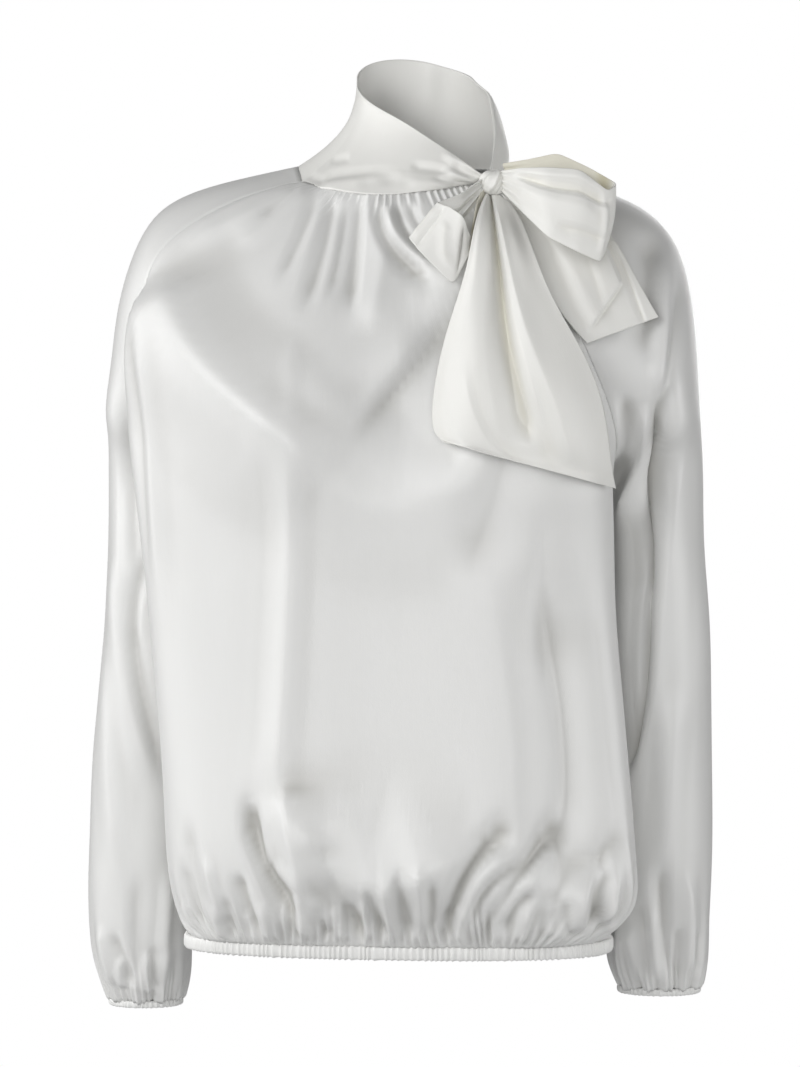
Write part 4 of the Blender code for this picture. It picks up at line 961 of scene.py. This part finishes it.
hem = casing(
    "hem_casing_satin", (0.0, HEM_MIDDLE_Y, 0.0), HEM_HALF_WIDTH, (HEM_FRONT, HEM_BACK),
    HEM_TOP - HALF_SEAM, HEM_BOTTOM, 190, 0.0010, 5, HEM_SQUARENESS,
)
dressed(hem, "hem_casing", SATIN_RUCHED, (1.08, 0.012))
for side, word, tube in ((RIGHT, "right", SLEEVE_RIGHT_TUBE), (LEFT, "left", SLEEVE_LEFT_TUBE)):
    height, outer, inner, front_y, back_y = tube[-1]
    centre, half_y = (side * (outer + inner) / 2, (front_y + back_y) / 2, 0.0), (back_y - front_y) / 2
    cuff = casing(
        f"cuff_casing_{word}_satin", centre, (outer - inner) / 2, (half_y, half_y),
        height - HALF_SEAM, height - CUFF_HEIGHT, 46, 0.0006, 8 + side,
    )
    dressed(cuff, f"cuff_casing_{word}", SATIN_RUCHED, (0.21, 0.010))

# %% [markdown]
# ## The collar
#
# The collar is the middle of one long scarf, folded double along its top edge and sewn to the neck
# seam. It stands high at the back and dips to the knot. Its rows are worked out from the neck seam
# to the folded edge.

# %% The collar's edge and its flare
# turn in degrees from the front towards the wearer's left, then x, y, z of the collar's edge
COLLAR_EDGE = (
    (-180, 0.010, 0.055, 0.1030),
    (-140, -0.0270, 0.042, 0.1010),
    (-100, -0.0385, 0.012, 0.0840),
    (-68, -0.0300, -0.016, 0.0680),
    (-36, -0.0120, -0.036, 0.0530),
    (-8, 0.0100, -0.048, 0.0400),
    (20, 0.0400, -0.0550, 0.0200),
    (36, 0.0600, -0.0590, 0.0060),
    (50, 0.0788, -0.0598, -0.0064),
    (62, 0.0815, -0.0440, 0.0030),
    (78, 0.0805, -0.022, 0.0280),
    (100, 0.0730, 0.005, 0.0630),
    (142, 0.0460, 0.044, 0.0910),
)
COLLAR_FLARE, COLLAR_FLARE_SWING = 1.4, 0.95  # it flares more on the wearer's right
COLLAR_SWELL = 0.005  # and stands out more on the left, under the bow
COLLAR_TUCK, COLLAR_OVER = -0.0012, 0.0009  # its edge laps a little over the gathered seam


def neck_ring(count):
    """The neck seam as a ring, from the back's middle round by the wearer's right."""
    parts = ((BACK, 0.5, 1, 40), (SLEEVES[RIGHT], 0, 1, 40), (FRONT, 0, 1, 60), (SLEEVES[LEFT], 0, 1, 40))
    ring = [BACK.smooth(0.5, 0.0)[None]]
    for form, low, high, steps in (*parts, (BACK, 0, 0.5, 40)):
        ring.append(form.smooth(np.linspace(low, high, steps), 0.0)[1:])
    ring = np.vstack(ring)
    turn = np.degrees(np.unwrap(np.arctan2(ring[:, 0], -ring[:, 1])))
    turn -= turn[0] + 180
    wanted = np.linspace(-180, 180, count + 1)[:-1]
    return wanted, np.column_stack([np.interp(wanted, turn, ring[:, k]) for k in range(3)])


def collar_top(turns):
    table = np.array(COLLAR_EDGE)
    table = np.vstack([table[-4:] - (360, 0, 0, 0), table, table[:4] + (360, 0, 0, 0)])
    return spline(table[:, 0], table[:, 1:], turns)


print("the collar's edge at the back, m:", COLLAR_EDGE[0][3])

# %% The collar's sheet
# soft folds that run up the collar: turn in degrees, width in degrees, depth
COLLAR_SOFT_FOLDS = (
    (120, 9, -0.0016), (104, 6, 0.0014), (150, 14, 0.0016),
    (-60, 16, 0.0010), (-95, 10, -0.0010), (170, 8, -0.0012),
)
# creases seen from the front, in the columns of the panels' folds
COLLAR_CREASES = metres(
    (-63, -5, -32, -2, 10, -2, 5.7, 5.7, 2.5, -1.8),
    (-58, -12, -30, -8, 5, -5, 8, 8, 3.5, 2),
    (-27, -13, -3, -8, 25, -12, 5.7, 5.7, 2.5, -1.6),
    (-3, -7, 29, -11, 59, -12, 6.9, 6.9, 3, 1.8),
    (-54, 13, -45, 12, -34, 13, 4.6, 4.6, 2, -1.4),
    (-70, 2, -65, -3, -53, -6, 4.6, 4.6, 2, -1.6),
    (16, 3, 33, 1, 48, -2, 4.6, 4.6, 2, -2.2),
    (51, 5, 62, -2, 75, -8, 3.4, 3.4, 1.5, -2.6),
    (46, -1, 59, -7, 74, -10, 3.4, 3.4, 1.5, 2.4),
    (41, 15, 58, 4, 75, -6, 4.6, 4.6, 2, 2),
    (33, -6, 53, -11, 72, -13, 3.4, 3.4, 1.5, -1.8),
)


def collar(columns, rows):
    turns, base = neck_ring(columns)
    top, out = collar_top(turns), neck_normal(base)
    base = base + neck_across(base, out, ring=True) * COLLAR_TUCK + out * COLLAR_OVER
    flare = COLLAR_FLARE - COLLAR_FLARE_SWING * np.sin(np.radians(turns))
    grid = []
    for level in np.linspace(0, 1, rows + 1):
        inward = 1 - (1 - level) ** flare
        flat = base + (top - base) * inward[:, None]
        swell = COLLAR_SWELL * np.sin(np.pi * level**0.6) * np.maximum(np.sin(np.radians(turns)), 0)
        flat += unit(base * (1, 1, 0)) * swell[:, None]
        flat[:, 2] = base[:, 2] + (top[:, 2] - base[:, 2]) * level
        grid.append(np.vstack([flat, flat[:1]]))
    grid = np.array(grid)
    away = grid_normals(grid)
    centre = grid.mean(axis=(0, 1))
    away *= np.sign(np.sum(away * (grid - centre) * (1, 1, 0)))
    lift = fold_heights(COLLAR_CREASES, grid) * np.clip(-away[..., 1] * FACING_GAIN, 0, 1)
    level, turn = np.linspace(0, 1, rows + 1)[:, None], np.append(turns, 180.0)
    for middle, width, depth in COLLAR_SOFT_FOLDS:
        off = (turn - middle + 180) % 360 - 180
        lift = lift + depth * bell(off, width) * soft_step(level * 1.6)
    grid = grid + away * lift[..., None]
    return cloth("collar_satin", grid, away, THIN_DOUBLE, (0.55, 0.12), wrapped=True)


collar_piece = collar(260, 60)
dressed(collar_piece, "collar", SATIN_DOUBLE, (0.50, 0.07))

# %% [markdown]
# ## The bow
#
# The scarf's two ends are tied at the side of the neck: two loops, two hanging ends and the turn
# round the middle that holds them. Each loop is a strip that leaves the knot, turns over and comes
# back to it, so it is hollow, and the hanging ends lie on the front.

# %% The stations of the tie
# The tie, in stations from the knot outwards; lift is how far it stands off what is under it.
# left_x, left_z, right_x, right_z, left_lift, right_lift
TIE_FRONT = metres(
    (79, -21.3, 89, -21.3, 6, 6),
    (75, -46, 109, -44, 20, 17),
    (68, -88, 132, -98, 15, 16),
    (52, -140, 157, -144, 10, 14),
    (44, -192, 175, -190, 7, 11),
    (47, -214, 181, -234, 6, 8),
    (54, -220, 183.5, -256, 6, 6),
)
TIE_BACK = metres(
    (90, -18.6, 95, -16.8, 9.6, 7.7),
    (112, -52, 150, -36, 5, 4),
    (124.5, -85, 179, -56, 3, 3.5),
    (141.5, -117, 198, -88, 3, 3),
    (162, -142, 216, -120, 3, 3),
)
# top_x, top_y, top_z, bottom_x, bottom_y, bottom_z of a loop, from the knot out and back to it
LOOP_LEFT = metres(
    (90.3, -70.5, -3, 91.9, -70.5, -19.7),
    (108.8, -95, -3.5, 111.9, -102, -39.6),
    (130.1, -110.5, -4.7, 133.2, -117.5, -60.1),
    (157.9, -114.5, -7.1, 156.5, -116.5, -72),
    (179.1, -106, -23.7, 172.9, -106, -79.1),
    (186.1, -94, -17.1, 176.8, -96, -70.5),
    (163.1, -82.5, -3, 159.6, -88.5, -56.3),
    (137.3, -78.5, 9.7, 135.5, -84.5, -39.9),
    (112.8, -72, 5.3, 111.1, -78.5, -27.1),
    (92.5, -61.5, 3.5, 95, -62.5, -17.4),
)
LOOP_RIGHT = metres(
    (77.5, -70.5, -8.4, 77.5, -70.5, -19.5),
    (62, -88, -21.8, 59.5, -94, -50.1),
    (43.5, -100, -30.7, 20.9, -103, -57.5),
    (54.8, -107.5, -34.7, 31.6, -111.5, -70.1),
    (64.8, -111, -41.4, 57.8, -112.5, -96.4),
    (70.2, -104, -58.9, 68.9, -106, -73.3),
    (73.1, -88, -32.3, 74.9, -90, -49.9),
    (77.3, -62, -10.7, 77.4, -63, -18.8),
)
KNOT_CENTRE = (0.0840, -0.0658, -0.0118)
print("stations of ends and loops:", len(TIE_FRONT), len(TIE_BACK), len(LOOP_LEFT), len(LOOP_RIGHT))

# %% The loops
LOOP_SOFTNESS = 0.045  # of a loop's length, over which each of its folds turns
PINCH = 0.0011  # how high the pleats at the knot stand
DEEPEST_LOOP, DEEPEST_END = 0.012, 0.015  # fully shaded from here down


def folded(stations, values, at, softness):
    """Straight between the named places, with each corner rounded over this part of the way."""
    reach, total = np.linspace(-1, 1, 15), 0.0
    weights = np.cos(reach * np.pi / 2) ** 2
    for offset, weight in zip(reach * softness, weights / weights.sum()):
        place = np.clip(at + offset * np.minimum(1, np.minimum(at, 1 - at) / softness), 0, 1)
        columns = [np.interp(place, stations, column) for column in values.T]
        total = total + weight * np.column_stack(columns)
    return total


def bow_loop(name, stations, rows, columns, belly, flat, creases, pinches, seed, inside):
    """A loop's strip; from the given part of its length on, where its inner side shows, that side gets
    painted shade.
    """
    table = np.array(stations)
    at, across = np.linspace(0, 1, rows + 1), np.linspace(0, 1, columns + 1)
    line = folded(np.linspace(0, 1, len(table)), table, at, LOOP_SOFTNESS)
    top, bottom = line[:, None, :3], line[:, None, 3:]
    grid = top + (bottom - top) * across[None, :, None]
    normals = grid_normals(grid)
    if normals[rows // 4, columns // 2, 1] > 0:
        normals = -normals
    lift = belly * np.sin(np.pi * across)[None, :] * np.sin(np.pi * at)[:, None]
    strip = np.stack(np.broadcast_arrays(at[:, None] * flat[0], 0.0, across * flat[1]), axis=-1)
    lift = lift + fold_heights(creases, strip)
    from_knot = np.minimum(at, 1 - at)[:, None] * flat[0]
    reach = 0.020 + 0.010 * wandering(seed, 5)(across)
    pinch = PINCH * gathers(across, pinches, seed) * bell(from_knot, reach)
    grid = grid + normals * (lift + pinch)[..., None]
    # painted shade in the valleys of its creases and, from the given part of its length on, on its inner
    # side, which its front layer shades, darkest just after it starts
    painted_shade = hollows(lift + pinch, rows // 16, columns // 6, DEEPEST_LOOP)
    painted_inner_shade = 0.5 * soft_step((at - inside) / 0.08) + 0.5 * bell(at - inside - 0.05, 0.03)
    painted_shade = np.maximum(painted_shade, painted_inner_shade[:, None])
    return cloth(name, grid, normals, THIN_DOUBLE, flat, painted_shade=painted_shade)


# creases of a strip: paths on the flat cloth, from the knot outwards and from the top edge down
# start_out, start_down, middle_out, middle_down, end_out, end_down, right, left, round, height
LOOP_LEFT_CREASES = metres(
    (14, 11, 56, 17.5, 106, 9, 13, 5, 0.8, -4.6),
    (12, 4, 50, 7, 96, 3, 8, 6, 1, 1.8),
    (18, 26, 55, 30, 90, 26, 16, 20, 4, 3.4),
    (50, 52, 76, 47, 100, 44, 6, 12, 1, -2.6),
    (90, 0, 93, 30, 92, 66, 6, 5, 0.6, 2),
    (130, 10, 155, 20, 190, 26, 14, 12, 3, -2.6),
)
LOOP_RIGHT_CREASES = metres(
    (49, -4, 49, 24, 49, 52, 4.4, 4.4, 0.6, 1.8),
    (40, 2, 40, 24, 40, 46, 6.6, 6.6, 0.9, -1.2),
    (60, 10, 64, 26, 70, 42, 6.6, 6.6, 0.9, -1.2),
    (80, 2, 82, 24, 80, 46, 5.5, 5.5, 0.8, 1.4),
    (6, 20, 16, 26, 28, 24, 6.6, 6.6, 0.9, -2),
)
loop_left = bow_loop(
    "loop_left_satin", LOOP_LEFT, 200, 80, 0.003, (0.21, 0.065), LOOP_LEFT_CREASES, 4, 21, 0.55
)
dressed(loop_left, "bow_loop_left", SATIN_DOUBLE, (0.21, 0.065))
loop_right = bow_loop(
    "loop_right_satin", LOOP_RIGHT, 160, 60, 0.001, (0.13, 0.048), LOOP_RIGHT_CREASES, 3, 26, 0.70
)
dressed(loop_right, "bow_loop_right", SATIN_DOUBLE, (0.13, 0.048))

# %% What the hanging ends lie on
def front_depth(x, z, reach=0.007):
    """The y of the foremost cloth of the front and sleeves near each place seen from the front."""
    clouds = []
    for form, folds, last, step in (
        (FRONT, FRONT_FOLDS, 12, 0.1), (SLEEVES[RIGHT], SLEEVE_RIGHT_FOLDS, 9, 0.15),
        (SLEEVES[LEFT], SLEEVE_LEFT_FOLDS, 9, 0.15),
    ):
        grid = np.meshgrid(np.linspace(0.01, 0.99, 100), np.arange(0, last, step))
        points, out, lift = laid(form, folds, *grid)
        clouds.append((points + out * lift[..., None]).reshape(-1, 3))
    cloud = np.vstack(clouds)
    depths = []
    for place_x, place_z in zip(x.ravel(), z.ravel()):
        near = (abs(cloud[:, 0] - place_x) < reach) & (abs(cloud[:, 2] - place_z) < reach)
        depths.append(cloud[near, 1].min())
    return np.array(depths).reshape(x.shape)


def pleat_wave(pleats, across, down):
    """The tie's folds across it; each pleat's middle runs through four places from knot to end."""
    total = np.zeros(np.broadcast(across, down).shape)
    for *middles, start, stop, left, right, round_by, height in pleats:
        middle = spline(np.linspace(0, 1, 4), np.reshape(middles, (4, 1)), down.ravel())
        fade = soft_step((down - start) / 0.16) * soft_step((stop - down) / 0.16)
        off = across - middle
        total = total + height * fade * fold_side(np.abs(off), np.where(off < 0, left, right), round_by)
    return total


# %% The hanging ends
def edge_to_edge(stations, down, across):
    """A strip's x, z and lift at each place, straight across from its left edge to its right."""
    line = spline(np.linspace(0, 1, len(stations)), stations, down)
    return [
        line[:, left, None] + (line[:, right] - line[:, left])[:, None] * across
        for left, right in ((0, 2), (1, 3), (4, 5))
    ]


def tie_end(name, stations, relief, columns, rows, coarse):
    """A hanging end; relief(across, down) is how far its own folds lift it off what it lies on.
    The cloth under it is looked up on a coarse grid and smoothed between, as the end spans its dips."""
    few_down, few_across = np.linspace(0, 1, coarse[0]), np.linspace(0, 1, coarse[1])
    under_few = front_depth(*edge_to_edge(stations, few_down, few_across)[:2])
    at, across = np.linspace(0, 1, rows + 1), np.linspace(0, 1, columns + 1)
    under = spline(few_across, spline(few_down, under_few, at).T, across).T
    x, z, lift = edge_to_edge(stations, at, across)
    own = relief(across[None, :], at[:, None])
    clear = under - SURFACE_CLEARANCE - DOUBLE_CLOTH
    grid = np.stack([x, np.minimum(clear - lift - own, clear), z], axis=-1)
    normals = grid_normals(grid)
    normals *= np.where(normals[..., 1:2] > 0, -1, 1)
    # painted shade: the valleys of the pleats are given a darker, warmer colour
    painted_shade = hollows(own, rows // 16, columns // 6, DEEPEST_END)
    return cloth(name, grid, normals, THIN_DOUBLE, (0.13, 0.26), painted_shade=painted_shade)


# A pleat's middle across the strip at the knot, at one and two thirds and at the end, then where
# along the strip it starts and stops, how far it reaches to its left and right and how round its
# line is, all as parts of the strip, and its height in metres.
TIE_FRONT_PLEATS = (
    (0.32, 0.42, 0.53, 0.56, -0.30, 0.84, 0.15, 0.10, 0.012, -0.0120),
    (0.52, 0.60, 0.74, 0.82, 0.04, 0.94, 0.14, 0.34, 0.016, 0.0060),
    (0.13, 0.13, 0.14, 0.18, -0.15, 1.20, 0.16, 0.30, 0.060, 0.0060),
    (0.10, 0.10, 0.24, 0.40, 0.50, 1.05, 0.12, 0.05, 0.010, 0.0016),
    (0.64, 0.66, 0.66, 0.62, 0.56, 0.98, 0.10, 0.16, 0.030, -0.0024),
)
TIE_BACK_PLEATS = (
    (0.30, 0.30, 0.40, 0.30, 0.10, 1.00, 0.20, 0.14, 0.030, 0.0016),
    (0.84, 0.90, 0.92, 0.80, 0.50, 1.10, 0.08, 0.05, 0.010, -0.0022),
    (0.55, 0.58, 0.55, 0.30, 0.15, 0.90, 0.16, 0.10, 0.020, -0.0018),
)


TURNED_OVER = 0.0055  # how high the part of the second end lies that is folded over


def back_relief(across, down):
    """The second end's pleats; its left part is folded over on top, up to a slanting fold."""
    fold = np.interp(down, (0.0, 0.50, 0.75, 0.96), (0.96, 0.90, 0.84, 0.04))
    start = np.interp(down, (0.0, 0.35, 1.0), (0.05, 0.24, 0.06))
    on_top = soft_step((fold - across) / 0.05) * soft_step((across - start) / 0.24)
    turned = TURNED_OVER * on_top * soft_step((down - 0.05) / 0.25)
    return pleat_wave(TIE_BACK_PLEATS, across, down) + turned


def front_relief(across, down):
    """The wide end's pleats, with its free edges curling up a little."""
    curl = 0.0016 * bell(1 - down, 0.05) + 0.0012 * bell(across, 0.04)
    return pleat_wave(TIE_FRONT_PLEATS, across, down) + curl


tie_front = tie_end("tie_front_satin", TIE_FRONT, front_relief, 160, 170, (9, 9))
dressed(tie_front, "tie_end_front", SATIN_DOUBLE, (0.15, 0.25))
tie_back = tie_end("tie_back_satin", TIE_BACK, back_relief, 100, 110, (6, 4))
dressed(tie_back, "tie_end_back", SATIN_DOUBLE, (0.08, 0.17))

# %% The knot
KNOT_SHOWN = (0.0100, 0.0095, 0.0098)  # half of its size with the folds of the turn
# folds of the turn, which run slantwise over the knot: where in turns, how steep, width, depth
KNOT_FOLDS = (
    (0.04, 0.10, 0.045, 0.16), (-0.09, 0.13, 0.030, -0.14), (0.16, 0.08, 0.030, -0.12),
    (0.27, 0.10, 0.050, 0.10), (-0.20, 0.12, 0.045, 0.12), (0.40, 0.10, 0.050, -0.08),
    (-0.36, 0.10, 0.060, 0.08),
)
KNOT_SQUARENESS = 0.78  # 1 is a ball


def knot(columns, rows):
    """The turn of the tie round its own middle: a squared ball with the turn's folds over it."""
    turn, up = np.meshgrid(np.linspace(-0.5, 0.5, columns + 1), np.linspace(0.02, np.pi - 0.02, rows + 1))
    around = 2 * np.pi * turn
    ball = np.stack([np.sin(up) * np.sin(around), -np.sin(up) * np.cos(around), np.cos(up)], axis=-1)
    swell = np.ones_like(turn)
    for middle, steep, width, depth in KNOT_FOLDS:
        off = (turn - middle - steep * np.cos(up) + 0.5) % 1 - 0.5
        swell += depth * tent(np.abs(off) / width) * np.sin(up)
    grid = np.array(KNOT_CENTRE) + bent(ball, KNOT_SQUARENESS) * np.array(KNOT_SHOWN) * swell[..., None]
    return cloth("knot_satin", grid, ball, 0, (0.06, 0.03), wrapped=True)


knot_piece = knot(120, 60)
dressed(knot_piece, "bow_knot", SATIN_DOUBLE, (0.04, 0.022))

# %% [markdown]
# ## Floor, light and camera
#
# A plain studio: a pale floor well below the blouse, white all round, and five large soft lights.
# The strongest two stand at the front and side on the wearer's right. The others are weaker, so the
# sleeve on the wearer's left falls into shade.

# %% The floor
FLOOR_RADIUS, FLOOR_HEIGHT = 2.4, -1.45


def floor():
    disc = bmesh.new()
    bmesh.ops.create_circle(disc, cap_ends=True, segments=96, radius=FLOOR_RADIUS)
    bmesh.ops.translate(disc, verts=disc.verts, vec=(0, 0, FLOOR_HEIGHT))
    mesh = bpy.data.meshes.new("floor")
    disc.to_mesh(mesh)
    disc.free()
    piece = bpy.data.objects.new("floor", mesh)
    bpy.context.collection.objects.link(piece)
    finish = Finish("pale_floor")
    finish.set(Base_Color=(0.55, 0.55, 0.55, 1.0), Roughness=0.9)
    mesh.materials.append(finish.material)


floor()
print("floor, m:", FLOOR_HEIGHT)

# %% The light
CHEST = Vector((0, 0, -0.3))
AIR_STRENGTH = 0.075  # how much light the white all round gives
for name, place, size, power in (
    ("side light", (-3.0, -0.4, 0.3), 2.4, 42),
    ("front light", (-1.9, -2.6, 0.8), 2.0, 56),
    ("far light", (2.8, -0.5, -0.3), 2.0, 31),
    ("low light", (0.4, -3.2, -0.1), 2.0, 32),
    ("back light", (0.5, 3.2, 0.8), 2.0, 36),
):
    lamp = bpy.data.lights.new(name, "AREA")
    lamp.shape, lamp.size, lamp.energy = "DISK", size, power
    holder = bpy.data.objects.new(name, lamp)
    holder.location = place
    holder.rotation_euler = (CHEST - Vector(place)).to_track_quat("-Z", "Y").to_euler()
    bpy.context.collection.objects.link(holder)
    print(name, "of", power, "watts")

world = bpy.data.worlds.new("studio")
bpy.context.scene.world = world
world.use_nodes = True
air = world.node_tree
background = air.nodes["Background"]
seen = air.nodes.new("ShaderNodeLightPath")
white = air.nodes.new("ShaderNodeBackground")
for light, strength in ((white, 1.0), (background, AIR_STRENGTH)):
    light.inputs["Color"].default_value, light.inputs["Strength"].default_value = (1, 1, 1, 1), strength
chosen = air.nodes.new("ShaderNodeMixShader")
air.links.new(seen.outputs["Is Camera Ray"], chosen.inputs[0])
air.links.new(background.outputs[0], chosen.inputs[1])
air.links.new(white.outputs[0], chosen.inputs[2])
air.links.new(chosen.outputs[0], air.nodes["World Output"].inputs["Surface"])
bpy.context.scene.view_settings.view_transform = "Standard"

# %% The camera
camera_data = bpy.data.cameras.new("camera")
camera = bpy.data.objects.new("camera", camera_data)
CAMERA_TURN, CAMERA_DISTANCE, CAMERA_HEIGHT = np.radians(8), 2.8, -0.2915
SEEN_HEIGHT, SENSOR_MM = 1067 * 0.00082, 36.0  # the height seen at the blouse, in metres
camera.location = (
    CAMERA_DISTANCE * np.sin(CAMERA_TURN), -CAMERA_DISTANCE * np.cos(CAMERA_TURN), CAMERA_HEIGHT
)
camera.rotation_euler = (np.radians(90), 0, CAMERA_TURN)
camera_data.sensor_width = SENSOR_MM
camera_data.lens = SENSOR_MM * CAMERA_DISTANCE / SEEN_HEIGHT
bpy.context.collection.objects.link(camera)
bpy.context.scene.camera = camera
print("lens, mm:", round(camera_data.lens, 1))
